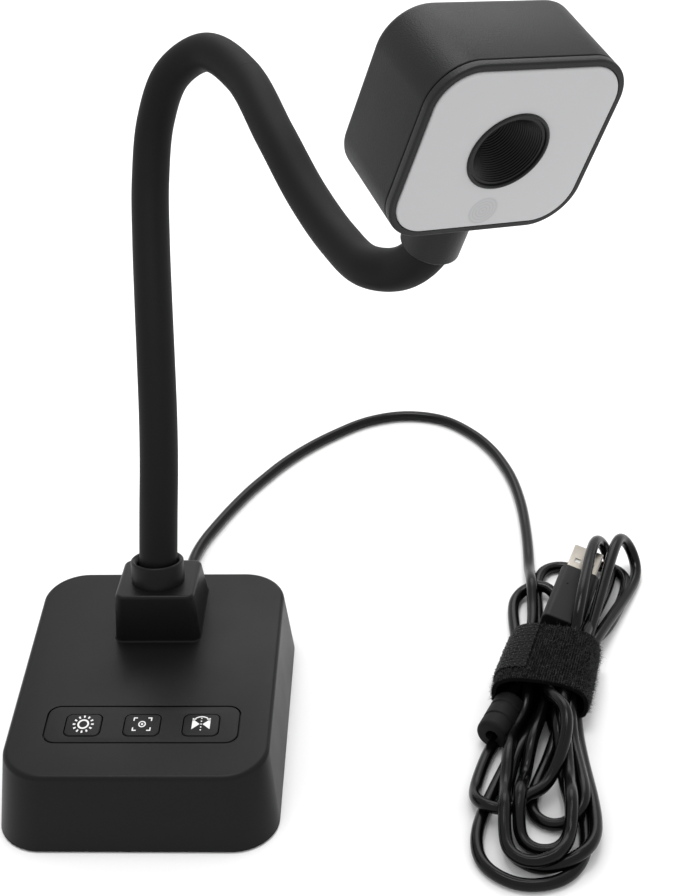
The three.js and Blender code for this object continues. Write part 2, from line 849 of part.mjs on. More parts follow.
// The tie's section, pulled in by inset.
function tieSection(inset) {
  const corner = TIE.height / 2 - 0.5;
  return roundedRect(TIE.width - 2 * inset, TIE.height - 2 * inset, corner - inset);
}

// A block along the hank, from front to rear, centred at the tie's height.
function alongHank(section, front, rear) {
  const block = slab(section, 0, rear - front);
  return block.rotateX(Math.PI / 2).translate(0, rear, TIE.bottom + TIE.height / 2);
}

function hankSolid() {
  const { bottom, lobeTop } = HANK;
  const lobes = join(slab(outlineOf(HANK_UPPER), bottom, lobeTop), slab(outlineOf(HANK_LOWER), bottom, lobeTop));
  const tieRoom = box(-40, 40, TIE.front - GAP, TIE.rear + GAP, bottom - 1, lobeTop + 1);
  const waist = alongHank(tieSection(TIE.thickness + GAP), TIE.front - 2, TIE.rear + 2);
  const turns = join(cut(lobes, tieRoom), waist);
  return cut(
    turns,
    plugBlock(PLUG.grip, PLUG.gripStart, plugMiddle, GAP),
    plugBlock([PLUG.grip[0], 40, PLUG.grip[2]], shellStart, plugMiddle, GAP),
    ferrite(GAP),
    box(-30, TIE.width / -2 + 1, -44, -17.4, bottom - 1, 20),
  );
}

function tieBand() {
  const outline = tieSection(0);
  outline.holes.push(tieSection(TIE.thickness));
  return alongHank(outline, TIE.front, TIE.rear);
}

function ferrite(grow = 0) {
  const radius = FERRITE.radius + grow;
  const half = FERRITE.length / 2 + grow;
  const bead = turned(
    [
      [0, -half],
      [radius * 0.72, -half],
      [radius, -half + 1.6],
      [radius, half - 1.6],
      [radius * 0.72, half],
      [0, half],
    ],
    16,
  );
  return bead.rotateX(Math.PI / 2).rotateZ(degrees(-FERRITE.turn)).translate(...FERRITE.at);
}

function plugShell() {
  const [width, length, height] = PLUG.shell;
  const wall = PLUG.shellWall;
  const hollow = plugBlock([width - 2 * wall, length, height - 2 * wall], shellStart + 1, plugMiddle);
  return cut(plugBlock(PLUG.shell, shellStart, plugMiddle), hollow);
}

function plugTongue() {
  const [, , height] = PLUG.shell;
  const middle = plugMiddle + height / 2 - PLUG.shellWall - GAP - PLUG.tongue[2] / 2;
  return plugBlock(PLUG.tongue, shellStart + 1 + GAP, middle);
}

function plugGrip() {
  const [width, length, height] = PLUG.grip;
  const grip = slab(roundedRect(width, height, 2.4), 0, length, 0.8);
  return tilted(grip.rotateX(Math.PI / 2).translate(PLUG.x, PLUG.gripStart + length, plugMiddle));
}

function makeLead() {
  const lead = new THREE.Group();
  piece(lead, "usb_lead", leadTube(), glossBlack);
  const hank = new THREE.Group();
  hank.position.set(...HANK.at, 0);
  hank.rotation.z = degrees(HANK.turn);
  piece(hank, "lead_hank", hankSolid(), glossBlack);
  piece(hank, "hook_loop_tie", tieBand(), fabricBlack);
  piece(hank, "ferrite_bead", ferrite(), rubberBlack);
  piece(hank, "plug_grip", plugGrip(), rubberBlack);
  piece(hank, "plug_shell", plugShell(), nickel);
  piece(hank, "plug_tongue", plugTongue(), milkWhite);
  lead.add(hank);
  return lead;
}

// ---------- the whole magnifier ----------

const magnifier = new THREE.Group();
magnifier.add(makeBase(), makePedestal(), makeNeck(), makeHead(), makeLead());
magnifier.updateMatrixWorld(true);

export default magnifier;
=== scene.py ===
"""The looks of a desktop video magnifier, built round its CAD frame: metres, Z up, -Y to the user."""
import json
import math

import bmesh
import bpy
import numpy as np
from mathutils import Matrix, Vector


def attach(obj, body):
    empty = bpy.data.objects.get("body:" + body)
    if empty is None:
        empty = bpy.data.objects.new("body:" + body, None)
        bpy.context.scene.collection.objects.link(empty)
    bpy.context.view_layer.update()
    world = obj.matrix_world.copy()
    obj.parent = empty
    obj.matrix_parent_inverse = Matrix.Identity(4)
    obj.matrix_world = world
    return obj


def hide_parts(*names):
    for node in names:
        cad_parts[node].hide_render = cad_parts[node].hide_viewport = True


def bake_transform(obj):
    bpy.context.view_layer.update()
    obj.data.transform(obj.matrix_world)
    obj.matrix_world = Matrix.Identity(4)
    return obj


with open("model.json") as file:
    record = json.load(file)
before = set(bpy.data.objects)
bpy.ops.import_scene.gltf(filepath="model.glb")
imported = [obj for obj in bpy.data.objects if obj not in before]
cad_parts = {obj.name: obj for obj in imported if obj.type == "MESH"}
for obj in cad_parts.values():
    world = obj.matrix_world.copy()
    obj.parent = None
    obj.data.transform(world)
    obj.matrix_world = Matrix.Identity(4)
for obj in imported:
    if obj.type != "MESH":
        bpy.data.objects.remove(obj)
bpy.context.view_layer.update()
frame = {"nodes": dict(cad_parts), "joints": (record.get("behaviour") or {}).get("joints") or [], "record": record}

nodes = frame["nodes"]
joints = {j["name"]: j for j in frame["joints"]}


def placed(name, data, place=None):
    """A new object in the scene."""
    thing = bpy.data.objects.new(name, data)
    bpy.context.scene.collection.objects.link(thing)
    if place is not None:
        thing.matrix_world = place
    return thing


# ---------- camera ----------

FOCAL_IN_PICTURES = 1.9844  # the focal length over the length of the picture's longer side
SENSOR = 36.0  # millimetres
CAMERA_AT = Vector((0.0953, -0.4818, 0.4349))
CAMERA_DOWN, CAMERA_YAW, CAMERA_ROLL = (math.radians(a) for a in (32.99, -3.0, 2.05))


def make_camera():
    """The camera, from its place and its three angles."""
    camera = placed("camera", bpy.data.cameras.new("camera"))
    camera.data.sensor_width = SENSOR
    camera.data.lens = FOCAL_IN_PICTURES * SENSOR
    camera.data.clip_start = 0.01
    flat = math.cos(CAMERA_DOWN)
    ahead = Vector((math.sin(CAMERA_YAW) * flat, math.cos(CAMERA_YAW) * flat, -math.sin(CAMERA_DOWN)))
    level = Vector((math.cos(CAMERA_YAW), -math.sin(CAMERA_YAW), 0))
    down = ahead.cross(level)
    right = math.cos(CAMERA_ROLL) * level + math.sin(CAMERA_ROLL) * down
    up = math.sin(CAMERA_ROLL) * level - math.cos(CAMERA_ROLL) * down
    axes = Matrix((right, up, -ahead)).transposed()
    camera.matrix_world = Matrix.Translation(CAMERA_AT) @ axes.to_4x4()
    bpy.context.scene.camera = camera


make_camera()

# ---------- mesh helpers ----------

SMOOTH_UNDER = math.radians(32)


def mesh_piece(name, vertices, faces, place=None, smooth=True):
    """A mesh object from points and faces, smooth except at its sharp edges."""
    mesh = bpy.data.meshes.new(name)
    mesh.from_pydata([tuple(v) for v in vertices], [], [tuple(f) for f in faces])
    mesh.validate()
    if smooth:
        mesh.shade_smooth()
        mesh.set_sharp_from_angle(angle=SMOOTH_UNDER)
    return placed(name, mesh, place)


def loft(name, rings, closed=False, place=None):
    """A solid through a stack of rings of equally many points; closed joins the last ring to the first."""
    count = len(rings[0])
    vertices = np.concatenate([np.asarray(r, float) for r in rings])
    faces = []
    levels = len(rings) if closed else len(rings) - 1
    for i in range(levels):
        a, b = i * count, (i + 1) % len(rings) * count
        for k in range(count):
            m = (k + 1) % count
            faces.append((a + k, a + m, b + m, b + k))
    if not closed:
        faces.append(tuple(range(count - 1, -1, -1)))
        faces.append(tuple(range(len(vertices) - count, len(vertices))))
    piece = mesh_piece(name, vertices, faces, place)
    outward(piece)
    return piece


def outward(piece):
    """Turns every face of a closed mesh outwards."""
    work = bmesh.new()
    work.from_mesh(piece.data)
    bmesh.ops.recalc_face_normals(work, faces=work.faces)
    work.to_mesh(piece.data)
    work.free()


def rounded(width, depth, radius, z, middle=(0, 0), steps=14):
    """A ring in the plane z: a rectangle with round corners."""
    x, y = width / 2 - radius, depth / 2 - radius
    ring = []
    for corner, (sx, sy) in enumerate(((1, 1), (-1, 1), (-1, -1), (1, -1))):
        for k in range(steps + 1):
            a = math.radians(90 * (corner + k / steps))
            ring.append((middle[0] + sx * x + radius * math.cos(a),
                         middle[1] + sy * y + radius * math.sin(a), z))
    return ring


def quarter(radius, steps):
    """A quarter round as pairs of distances from the two faces that it joins, the first from 0."""
    angles = [math.radians(90 * k / steps) for k in range(steps + 1)]
    return [(radius * (1 - math.cos(a)), radius * (1 - math.sin(a))) for a in angles]


def circle(radius, z, count):
    """A round ring in the plane z."""
    angles = [2 * math.pi * k / count for k in range(count)]
    return [(radius * math.cos(a), radius * math.sin(a), z) for a in angles]


def turned(name, profile, place=None, closed=False, count=96):
    """A lathe solid about Z from (radius, z) points."""
    return loft(name, [circle(r, z, count) for r, z in profile], closed, place)


def plate(name, size, corner, bottom, top, edge, middle=(0, 0), place=None, foot=0.0, steps=5):
    """A plate with round corners whose upper rim is rounded by edge and lower rim by foot."""
    levels = [(inset, bottom + up) for up, inset in quarter(foot, steps)] if foot else [(0, bottom)]
    levels += [(inset, top - down) for inset, down in quarter(edge, steps)]
    rings = [rounded(size[0] - 2 * inset, size[1] - 2 * inset, max(corner - inset, 1e-5), z, middle)
             for inset, z in levels]
    return loft(name, rings, place=place)


def cut(piece, tool):
    """Cuts a tool's shape out of a piece, and removes the tool."""
    bpy.context.view_layer.update()
    step = piece.modifiers.new("cut", "BOOLEAN")
    step.object, step.operation, step.solver = tool, "DIFFERENCE", "EXACT"
    with bpy.context.temp_override(object=piece, active_object=piece, selected_objects=[piece]):
        bpy.ops.object.modifier_apply(modifier=step.name)
    bpy.data.objects.remove(tool)
    piece.data.shade_smooth()
    piece.data.set_sharp_from_angle(angle=SMOOTH_UNDER)


def catmull_rom(points, spacing):
    """Points on the centripetal Catmull-Rom curve through rows that start with x, y and z."""
    p = np.asarray(points, float)
    p = np.vstack([2 * p[0] - p[1], p, 2 * p[-1] - p[-2]])
    curve = []
    for a, b, c, d in zip(p[:-3], p[1:-2], p[2:-1], p[3:]):
        ta, tb, tc = (max(np.linalg.norm(v[:3] - u[:3]), 1e-9) ** 0.5 for u, v in ((a, b), (b, c), (c, d)))
        start = tb * ((b - a) / ta - (c - a) / (ta + tb) + (c - b) / tb)
        end = tb * ((c - b) / tb - (d - b) / (tb + tc) + (d - c) / tc)
        count = max(2, math.ceil(np.linalg.norm(c[:3] - b[:3]) / spacing))
        for t in np.arange(count) / count:
            curve.append((2 * t**3 - 3 * t**2 + 1) * b + (t**3 - 2 * t**2 + t) * start
                         + (3 * t**2 - 2 * t**3) * c + (t**3 - t**2) * end)
    curve.append(p[-2])
    return np.array(curve)


def lengths_along(line):
    """Each point's distance along a line from its start."""
    return np.concatenate([[0], np.cumsum(np.linalg.norm(np.diff(line[:, :3], axis=0), axis=1))])


def evenly(line, spacing):
    """The line again, with points about spacing apart."""
    along = lengths_along(line)
    at = np.linspace(0, along[-1], int(along[-1] / spacing) + 1)
    return np.stack([np.interp(at, along, line[:, k]) for k in range(line.shape[1])], axis=1)


def tube(name, line, radius, sides=48):
    """A closed round tube along a line, on axes that don't twist."""
    ahead = np.gradient(line, axis=0)
    ahead /= np.linalg.norm(ahead, axis=1)[:, None]
    side = np.cross(ahead[0], (0, 0, 1.0))
    rings = []
    for point, way in zip(line, ahead):
        side = side - way * (side @ way)
        side /= np.linalg.norm(side)
        other = np.cross(way, side)
        angles = np.linspace(0, 2 * math.pi, sides, endpoint=False)
        rings.append(point + radius * (np.outer(np.cos(angles), side) + np.outer(np.sin(angles), other)))
    return loft(name, rings)


# ---------- materials ----------


def shader_of(name):
    """A new node material, with its node tree and its shader."""
    material = bpy.data.materials.new(name)
    material.use_nodes = True
    return material, material.node_tree, material.node_tree.nodes["Principled BSDF"]


def node(tree, kind, links, operation=None, **values):
    """A new node, with the outputs that feed its inputs and the values of others; _ is a space."""
    made = tree.nodes.new("ShaderNode" + kind)
    if operation:
        made.operation = operation
    for name, source in links.items():
        tree.links.new(source, made.inputs[name])
    give(made, **values)
    return made


def give(made, **values):
    """Sets a node's inputs by name; _ is a space."""
    for name, value in values.items():
        made.inputs[name.replace("_", " ")].default_value = value


def own_metres(tree):
    """Where a point is in its object's own frame."""
    return tree.nodes.new("ShaderNodeTexCoord").outputs["Object"]


def noise(tree, scale, detail=4.0, roughness=0.55):
    """Noise in the object's own metres."""
    made = node(tree, "TexNoise", {"Vector": own_metres(tree)}, Scale=scale, Detail=detail,
                Roughness=roughness)
    return made.outputs["Fac"]


def spread(tree, value, low, high):
    """Values of 0.3 to 0.7, where noise mostly lies, mapped from low to high."""
    made = node(tree, "MapRange", {"Value": value}, From_Min=0.3, From_Max=0.7, To_Min=low, To_Max=high)
    return made.outputs["Result"]


def tinted(tree, value, dark, light):
    """A colour between two, by a value."""
    made = tree.nodes.new("ShaderNodeMix")
    made.data_type = "RGBA"
    give(made, A=(*dark, 1), B=(*light, 1))
    tree.links.new(value, made.inputs["Factor"])
    return made.outputs["Result"]


def bumped(tree, shader, height, strength, distance):
    """Relief on a shader, from a height."""
    made = node(tree, "Bump", {"Height": height}, Strength=strength, Distance=distance)
    tree.links.new(made.outputs["Normal"], shader.inputs["Normal"])


def moulded(name, color, roughness, grain, depth, specular=0.5, metallic=0.0, patches=25):
    """Plastic, rubber, fibre or metal: slow changes of colour and gloss, and a fine grain in relief."""
    material, tree, shader = shader_of(name)
    slow = noise(tree, patches, 3)
    fine = noise(tree, grain, 2, 0.6)
    dark, light = [c * 0.86 for c in color], [c * 1.14 for c in color]
    tree.links.new(tinted(tree, slow, dark, light), shader.inputs["Base Color"])
    tree.links.new(spread(tree, slow, roughness - 0.05, roughness + 0.05), shader.inputs["Roughness"])
    give(shader, Metallic=metallic, Specular_IOR_Level=specular)
    bumped(tree, shader, fine, 0.6, depth)
    return material


def hook_tape(name):
    """Hook tape: small dark eyes in a coarse weave."""
    material, tree, shader = shader_of(name)
    cells = node(tree, "TexVoronoi", {"Vector": own_metres(tree)}, Scale=700, Randomness=0.45)
    color = tinted(tree, cells.outputs["Distance"], (0.0012, 0.0012, 0.0012), (0.006, 0.006, 0.0062))
    tree.links.new(color, shader.inputs["Base Color"])
    give(shader, Roughness=0.5, Specular_IOR_Level=0.08)
    bumped(tree, shader, cells.outputs["Distance"], 1.0, 0.0006)
    return material


def milky(name, touch_y, touch_radius, ring_count=5):
    """The face's milky plastic, with faint rings over the touch sensor."""
    material, tree, shader = shader_of(name)
    shift = node(tree, "VectorMath", {0: own_metres(tree)}, "SUBTRACT")
    shift.inputs[1].default_value = (0, touch_y, 0)
    flat = node(tree, "VectorMath", {0: shift.outputs[0]}, "MULTIPLY")
    flat.inputs[1].default_value = (1 / touch_radius, 1 / touch_radius, 0)
    away = node(tree, "VectorMath", {0: flat.outputs[0]}, "LENGTH").outputs["Value"]
    rings = node(tree, "Math", {0: away}, "MULTIPLY")
    rings.inputs[1].default_value = 2 * math.pi * ring_count
    ripple = node(tree, "Math", {0: rings.outputs[0]}, "SINE")
    inside = node(tree, "MapRange", {"Value": away}, From_Min=1.0, From_Max=0.92)
    line = spread(tree, ripple.outputs[0], 0.35, 0.7)
    shade = node(tree, "Math", {0: line, 1: inside.outputs["Result"]}, "MULTIPLY")
    color = tinted(tree, shade.outputs[0], (0.455, 0.455, 0.463), (0.33, 0.33, 0.338))
    tree.links.new(color, shader.inputs["Base Color"])
    give(shader, Roughness=0.38, Specular_IOR_Level=0.3, Subsurface_Weight=0.15,
         Subsurface_Radius=(0.002, 0.002, 0.002))
    bumped(tree, shader, noise(tree, 900, 2), 0.15, 0.00003)
    return material


def clear(name):
    """Coated lens glass, dark because it looks into the camera."""
    material, tree, shader = shader_of(name)
    color = tinted(tree, noise(tree, 60), (0.004, 0.006, 0.014), (0.010, 0.008, 0.022))
    tree.links.new(color, shader.inputs["Base Color"])
    give(shader, Roughness=0.04, Coat_Weight=1.0, Coat_Roughness=0.02)
    return material


SATIN = moulded("satin_black", (0.0038, 0.0038, 0.0041), 0.40, 2600, 0.00005, specular=0.15)
HEAD_SATIN = moulded("head_satin_black", (0.0090, 0.0091, 0.0097), 0.44, 2300, 0.00019, specular=0.21)
KEYS = moulded("key_black", (0.0040, 0.0040, 0.0043), 0.38, 3200, 0.00003, specular=0.15)
RUBBER = moulded("neck_rubber", (0.0048, 0.0048, 0.0052), 0.6, 2400, 0.00005, specular=0.12)
SOFT_RUBBER = moulded("soft_rubber", (0.0045, 0.0045, 0.0047), 0.6, 1800, 0.00006, specular=0.16)
FUNNEL = moulded("funnel_black", (0.0014, 0.0014, 0.0015), 0.3, 2400, 0.00002, specular=0.2)
JACKET = moulded("cable_jacket", (0.0018, 0.0018, 0.0020), 0.22, 700, 0.00005, specular=0.17, patches=60)
GRIP = moulded("plug_grip_black", (0.0045, 0.0045, 0.0048), 0.45, 2200, 0.00005, specular=0.18)
LOOPS = moulded("loop_tape", (0.0030, 0.0030, 0.0032), 0.9, 1500, 0.0005, specular=0.06, patches=400)
# The loose fibres are coloured lighter than the loop tape: painted sheen on fibres that are black like the tape.
FIBRE_PAINTED_SHEEN = moulded("loose_fibre_painted_sheen", (0.020, 0.020, 0.021), 0.55, 3000, 0.00002, specular=0.4, patches=900)
# The hook prongs are coloured much lighter than the hook tape: painted glints on prongs that are as black as the
# tape.
PRONGS_PAINTED_GLINT = moulded("hook_prong_painted_glint", (0.050, 0.050, 0.052), 0.4, 3000, 0.00002, specular=0.5, patches=900)
HOOKS = hook_tape("hook_tape")
INK = moulded("icon_ink", (0.68, 0.68, 0.67), 0.55, 3000, 0.00001)
NICKEL = moulded("nickel_plate", (0.46, 0.425, 0.375), 0.30, 1500, 0.00001, metallic=1.0)
STEEL = moulded("plain_steel", (0.42, 0.42, 0.43), 0.38, 1200, 0.00003, metallic=1.0)
WHITE = moulded("white_plastic", (0.7, 0.7, 0.68), 0.45, 1500, 0.00002)
BOARD = moulded("circuit_board", (0.010, 0.11, 0.035), 0.4, 900, 0.00005)
GLASS = clear("lens_glass")

# The finish of each of the record's slots, for the CAD nodes that stay.
FINISHES = {"satin_black": SATIN, "button_black": KEYS, "rubber_black": SOFT_RUBBER, "gloss_black": JACKET,
            "fabric_black": LOOPS, "milk_white": WHITE, "steel": STEEL, "nickel": NICKEL,
            "board_green": BOARD, "lens_glass": GLASS}
for subpart in frame["record"]["subparts"]:
    mesh = nodes[subpart["node"]].data
    mesh.materials.clear()
    mesh.materials.append(FINISHES[subpart["material_slot"]])


def settle_in(piece, body, material, slot_name, *stands_for):
    """Gives a piece its material and its body, and hides the CAD nodes that it stands for; slot_name is not used.
    """
    piece.data.materials.clear()
    piece.data.materials.append(material)
    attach(piece, body)
    if stands_for:
        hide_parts(*stands_for)
    return piece


# ---------- the lead and its hank ----------

LEAD_DIAMETER = 0.0044
# From the gland in the base's rear wall, down to the desk and round on it to the hank; on the desk
# the cord's middle is at ON_DESK.
ON_DESK = 0.0023
LEAD_ROUTE = [
    (0.0026, 0.0693, 0.0098), (0.0027, 0.076, 0.0086), (0.0028, 0.084, 0.0058), (0.003, 0.092, 0.0032),
    *((x, y, ON_DESK) for x, y in (
        (0.0034, 0.1), (0.0046, 0.107), (0.0071, 0.1154), (0.0105, 0.1239), (0.0142, 0.1326),
        (0.0184, 0.1415), (0.0232, 0.1508), (0.029, 0.1604), (0.0353, 0.1702), (0.045, 0.1824),
        (0.0575, 0.1946), (0.073, 0.206), (0.09, 0.2105), (0.107, 0.2065), (0.1203, 0.194),
        (0.1282, 0.1812), (0.133, 0.169), (0.1362, 0.1574), (0.1381, 0.146), (0.1393, 0.1348),
    )),
    (0.1398, 0.124, 0.0025), (0.14, 0.113, 0.003), (0.1399, 0.102, 0.0036), (0.1396, 0.0913, 0.0042),
]
# The hank's own frame: Y along it, towards the plug's tip, from the middle of the strap.
HANK_AT = Vector((0.142, 0.022, 0))
HANK_TURN = math.radians(-12.5)
HANK = Matrix.Translation(HANK_AT) @ Matrix.Rotation(HANK_TURN, 4, "Z")
TIE_REAR, TIE_FRONT = 0.015, -0.017
TIE_WIDTH, TIE_HEIGHT, TIE_THICK, TIE_BOTTOM = 0.035, 0.0188, 0.0015, 0.0002
TIE_MIDDLE = TIE_BOTTOM + TIE_HEIGHT / 2
STACK_TOP = 0.0205  # the highest that a cord's middle may lie outside the strap
# The plug, in the hank's frame; sizes are its width, length and height.
PLUG_X, PLUG_TURN, PLUG_ROLL = 0.001, math.radians(-5), math.radians(14)
GRIP_SIZE, GRIP_START, GRIP_BOTTOM = (0.0154, 0.033, 0.008), 0.024, 0.007
SHELL_SIZE, SHELL_WALL, SHELL_GAP = (0.012, 0.0155, 0.0045), 0.00035, 0.0002
# A run's height and rank: a run of higher rank lies over one of lower rank where they cross.
LOW, MIDDLE, HIGH = (0.0042, 0), (0.008, 2), (0.012, 4)
# Where each run goes through the strap: across it at the rear and the front mouth, and its level.
RUNS = {
    "incoming": (-0.0095, -0.0045, HIGH),
    "plug": (0.001, -0.0115, (0.0095, 3)),
    "top_right": (0.0105, 0.0085, HIGH),
    "top_left": (0.0066, 0.0021, MIDDLE),
    "second_left": (0.0112, 0.0066, MIDDLE),
    "second_right": (0.0134, 0.0112, MIDDLE),
    "third_left": (0.0044, 0.0089, LOW),
    "third_right": (0.0089, 0.0134, LOW),
    "behind_left": (-0.0046, -0.0001, LOW),
    "behind_right": (-0.0001, 0.0044, LOW),
    "small_left": (-0.0128, -0.0047, LOW),
    "small_right": (-0.005, 0.003, HIGH),
}
# Each turn: the two runs that it joins, the middle and radius of its round end, how many degrees it
# leans up from the desk, its rank, and points (x, y, rank) that its first and second sides pass.
TURNS = [
    dict(runs=("incoming", "top_right"), end=(0.0093, -0.0815), radius=0.0105, rank=5,
         first=[(-0.0068, -0.034, 5.5)], second=[(0.0165, -0.055, 4.5)]),
    dict(runs=("top_right", "top_left"), end=(0.0112, 0.0700), radius=0.0088, lean=-66, rank=4,
         second=[(0.0074, 0.032, 4)]),
    dict(runs=("top_left", "second_left"), end=(0.0108, -0.0740), radius=0.0086, rank=4,
         first=[(0.0004, -0.046, 4)]),
    dict(runs=("second_left", "second_right"), end=(0.0203, 0.0738), radius=0.0088, lean=62, rank=3),
    dict(runs=("second_right", "third_left"), end=(0.0133, -0.0615), radius=0.0088, rank=2),
    dict(runs=("third_left", "third_right"), end=(0.0125, 0.0682), radius=0.0087, rank=0.5,
         second=[(0.0185, 0.042, 0.5)]),
    dict(runs=("third_right", "behind_left"), end=(0.0128, -0.0755), radius=0.015, rank=1,
         second=[(-0.0045, -0.048, 1)]),
    dict(runs=("behind_left", "behind_right"), end=(-0.0042, 0.0652), radius=0.0086, rank=0),
    dict(runs=("behind_right", "small_left"), end=(0.0072, -0.0805), radius=0.018, rank=0,
         first=[(0.0155, -0.042, 0)]),
    dict(runs=("small_left", "small_right"), end=(-0.0112, 0.0475), radius=0.0086, rank=1),
    dict(runs=("small_right", "plug"), end=(-0.0062, -0.0617), radius=0.0088, rank=3,
         first=[(0.0115, -0.031, 6), (0.0118, -0.045, 6), (0.0068, -0.0585, 3.4)],
         second=[(-0.0146, -0.0430, 3), (-0.0124, -0.0300, 3), (-0.0115, -0.020, 3)]),
]


def turn_points(runs, end, radius, rank, lean=0, first=(), second=()):
    """The points (x, y, z, rank, held) round one turn, from its first run's mouth to its second's.

    A point whose held is 1 keeps its height, and one whose held is 0 may drop.
    """
    side = 1 if end[1] > 0 else -1
    column, mouth = (0, TIE_REAR) if side > 0 else (1, TIE_FRONT)
    (x1, (z1, rank1)), (x2, (z2, rank2)) = ((RUNS[r][column], RUNS[r][2]) for r in runs)
    across = -1 if x1 < x2 else 1
    tilt = math.radians(lean)
    rise = radius * math.sin(tilt) * (1 if z1 >= z2 else -1)
    middle = LEAD_DIAMETER / 2 + abs(rise) if lean else LEAD_DIAMETER + rank * LEAD_DIAMETER / 3
    points = [(x1, mouth, z1, rank1, 0)]
    points += [(x, y, middle + rise, r, 0) for x, y, r in first]
    for degrees in (0, 45, 90, 135, 180):
        u, v = math.cos(math.radians(degrees)), math.sin(math.radians(degrees))
        points.append((end[0] + across * radius * u * math.cos(tilt), end[1] + side * radius * v,
                       middle + rise * u, rank, 1 if lean else 0))
    points += [(x, y, middle - rise, r, 0) for x, y, r in second]
    points.append((x2, mouth, z2, rank2, 0))
    return points


def hank_points():
    """The folded turns' points in the model's frame, from the end of the route to the plug."""
    local = [(-0.0137, 0.0508, 0.0095, 5, 0), (-0.0102, 0.0316, 0.0118, 5, 0),
             (-0.0095, TIE_REAR, 0.012, 5, 0)]
    for turn in TURNS:
        local += turn_points(**turn)
    local += [(0.001, TIE_REAR, 0.011, 3, 1), (0.001, 0.0238, 0.011, 3, 1)]
    return [(*(HANK @ Vector((x, y, z))), rank, held) for x, y, z, rank, held in local]


def crossings(line, spacing, reach):
    """Pairs of points nearer than reach seen from above but not along the cord, the lower one first."""
    x, y, z, rank = line.T[:4]
    cells = {}
    for i, cell in enumerate(zip((x // reach).astype(int), (y // reach).astype(int))):
        cells.setdefault(cell, []).append(i)
    apart = int(3 * LEAD_DIAMETER / spacing)
    pairs = []
    for (cx, cy), members in cells.items():
        around = [j for dx in (-1, 0, 1) for dy in (-1, 0, 1) for j in cells.get((cx + dx, cy + dy), ())]
        for i in members:
            pairs += [(i, j) for j in around
                      if j - i > apart and math.hypot(x[i] - x[j], y[i] - y[j]) < reach]
    i, j = np.array(pairs).T
    swap = rank[i] + z[i] > rank[j] + z[j]
    return np.where(swap, j, i), np.where(swap, i, j)


def over_grip(x, y, rank):
    """How high a run has to lie to pass over the right half of the plug's grip, and 0 elsewhere."""
    aside = x - PLUG_X + (y - GRIP_START) * math.tan(PLUG_TURN)
    crosses = (aside > 0) & (aside < GRIP_SIZE[0] / 2)
    crosses &= (y > GRIP_START) & (y < GRIP_START + GRIP_SIZE[1])
    top = GRIP_BOTTOM + GRIP_SIZE[2] - aside * math.sin(PLUG_ROLL)
    return np.where(crosses & (rank > MIDDLE[1] - 0.5), top + LEAD_DIAMETER / 2, 0)


def settled(line, spacing, rounds=900, fall=0.00002, stiff_steps=8, stiffness=0.06):
    """Lets the turns drop until each rests on the desk or on the turns below it.

    Each round drops the free points by fall, evens out their bends, and then parts the crossings.
    """
    reach = LEAD_DIAMETER * 1.01
    x, y, z, rank, held = line.T.copy()
    free = held < 0.02
    lower, upper = crossings(line, spacing, reach)
    moving = free[lower] | free[upper]
    lower, upper = lower[moving], upper[moving]
    need = np.sqrt(np.maximum(reach**2 - (x[lower] - x[upper]) ** 2 - (y[lower] - y[upper]) ** 2, 0))
    share = np.where(free[lower] & free[upper], 0.35, 0.7)
    away = np.array([HANK.inverted() @ Vector((u, v, 0)) for u, v in zip(x, y)])
    inside = (away[:, 1] > TIE_FRONT) & (away[:, 1] < TIE_REAR) & (abs(away[:, 0]) < TIE_WIDTH / 2)
    least = np.where(inside, TIE_BOTTOM + TIE_THICK + LEAD_DIAMETER / 2, LEAD_DIAMETER / 2)
    least = np.maximum(least, over_grip(away[:, 0], away[:, 1], rank))
    most = np.where(inside, TIE_BOTTOM + TIE_HEIGHT - TIE_THICK - LEAD_DIAMETER / 2, STACK_TOP)
    for _ in range(rounds):
        before = z.copy()
        z[free] -= fall
        for _ in range(stiff_steps):
            bend = np.zeros(len(z))
            bend[2:-2] = z[:-4] - 4 * z[1:-3] + 6 * z[2:-2] - 4 * z[3:-1] + z[4:]
            z[free] -= stiffness * bend[free]
        short = np.maximum(need - (z[upper] - z[lower]), 0) * share
        rise, drop = np.zeros(len(z)), np.zeros(len(z))
        np.maximum.at(rise, upper, short)
        np.maximum.at(drop, lower, short)
        z = np.where(free, np.clip(z + rise - drop, least, most), before)
    return np.stack([x, y, z], axis=1)


def make_lead(spacing=0.0015, height_passes=12, plan_passes=4):
    """The whole cord as one curve, settled and then smoothed: its heights more than its plan."""
    route = [(*p, TURNS[0]["rank"], 1) for p in LEAD_ROUTE]
    line = settled(evenly(catmull_rom(route + hank_points(), 0.0006), spacing), spacing)
    for step in range(height_passes):
        eased = (line[:-2] + 2 * line[1:-1] + line[2:]) / 4
        line[1:-1, 2] = eased[:, 2]
        if step < plan_passes:
            line[1:-1, :2] = eased[:, :2]
    line = evenly(line, spacing)
    curve = bpy.data.curves.new("usb_lead_line", "CURVE")
    curve.dimensions = "3D"
    curve.bevel_depth = LEAD_DIAMETER / 2
    curve.bevel_resolution = 6
    curve.use_fill_caps = True
    spline = curve.splines.new("POLY")
    spline.points.add(len(line) - 1)
    for point, place in zip(spline.points, line):
        point.co = (*place, 1)
    spline.use_smooth = True
    lead = placed("usb_lead_line", curve)
    return settle_in(lead, "base", JACKET, "gloss_black", "usb_lead", "lead_hank")


# ---------- what is on the lead ----------

FERRITE = dict(radius=0.0060, length=0.019, at=(-0.0122, -0.0262, 0.0062), turn=math.radians(11))
OUTLINE_STEPS = 120  # round the strap's section
LAP = (37, 61)  # the steps that the hook end covers
LAP_START = 0.20  # where it starts along the strap, from its front mouth at 0 to its rear one at 1
LOOP_FIBRES, FIBRE_SEED, WOBBLE_SEED = 9000, 7, 3


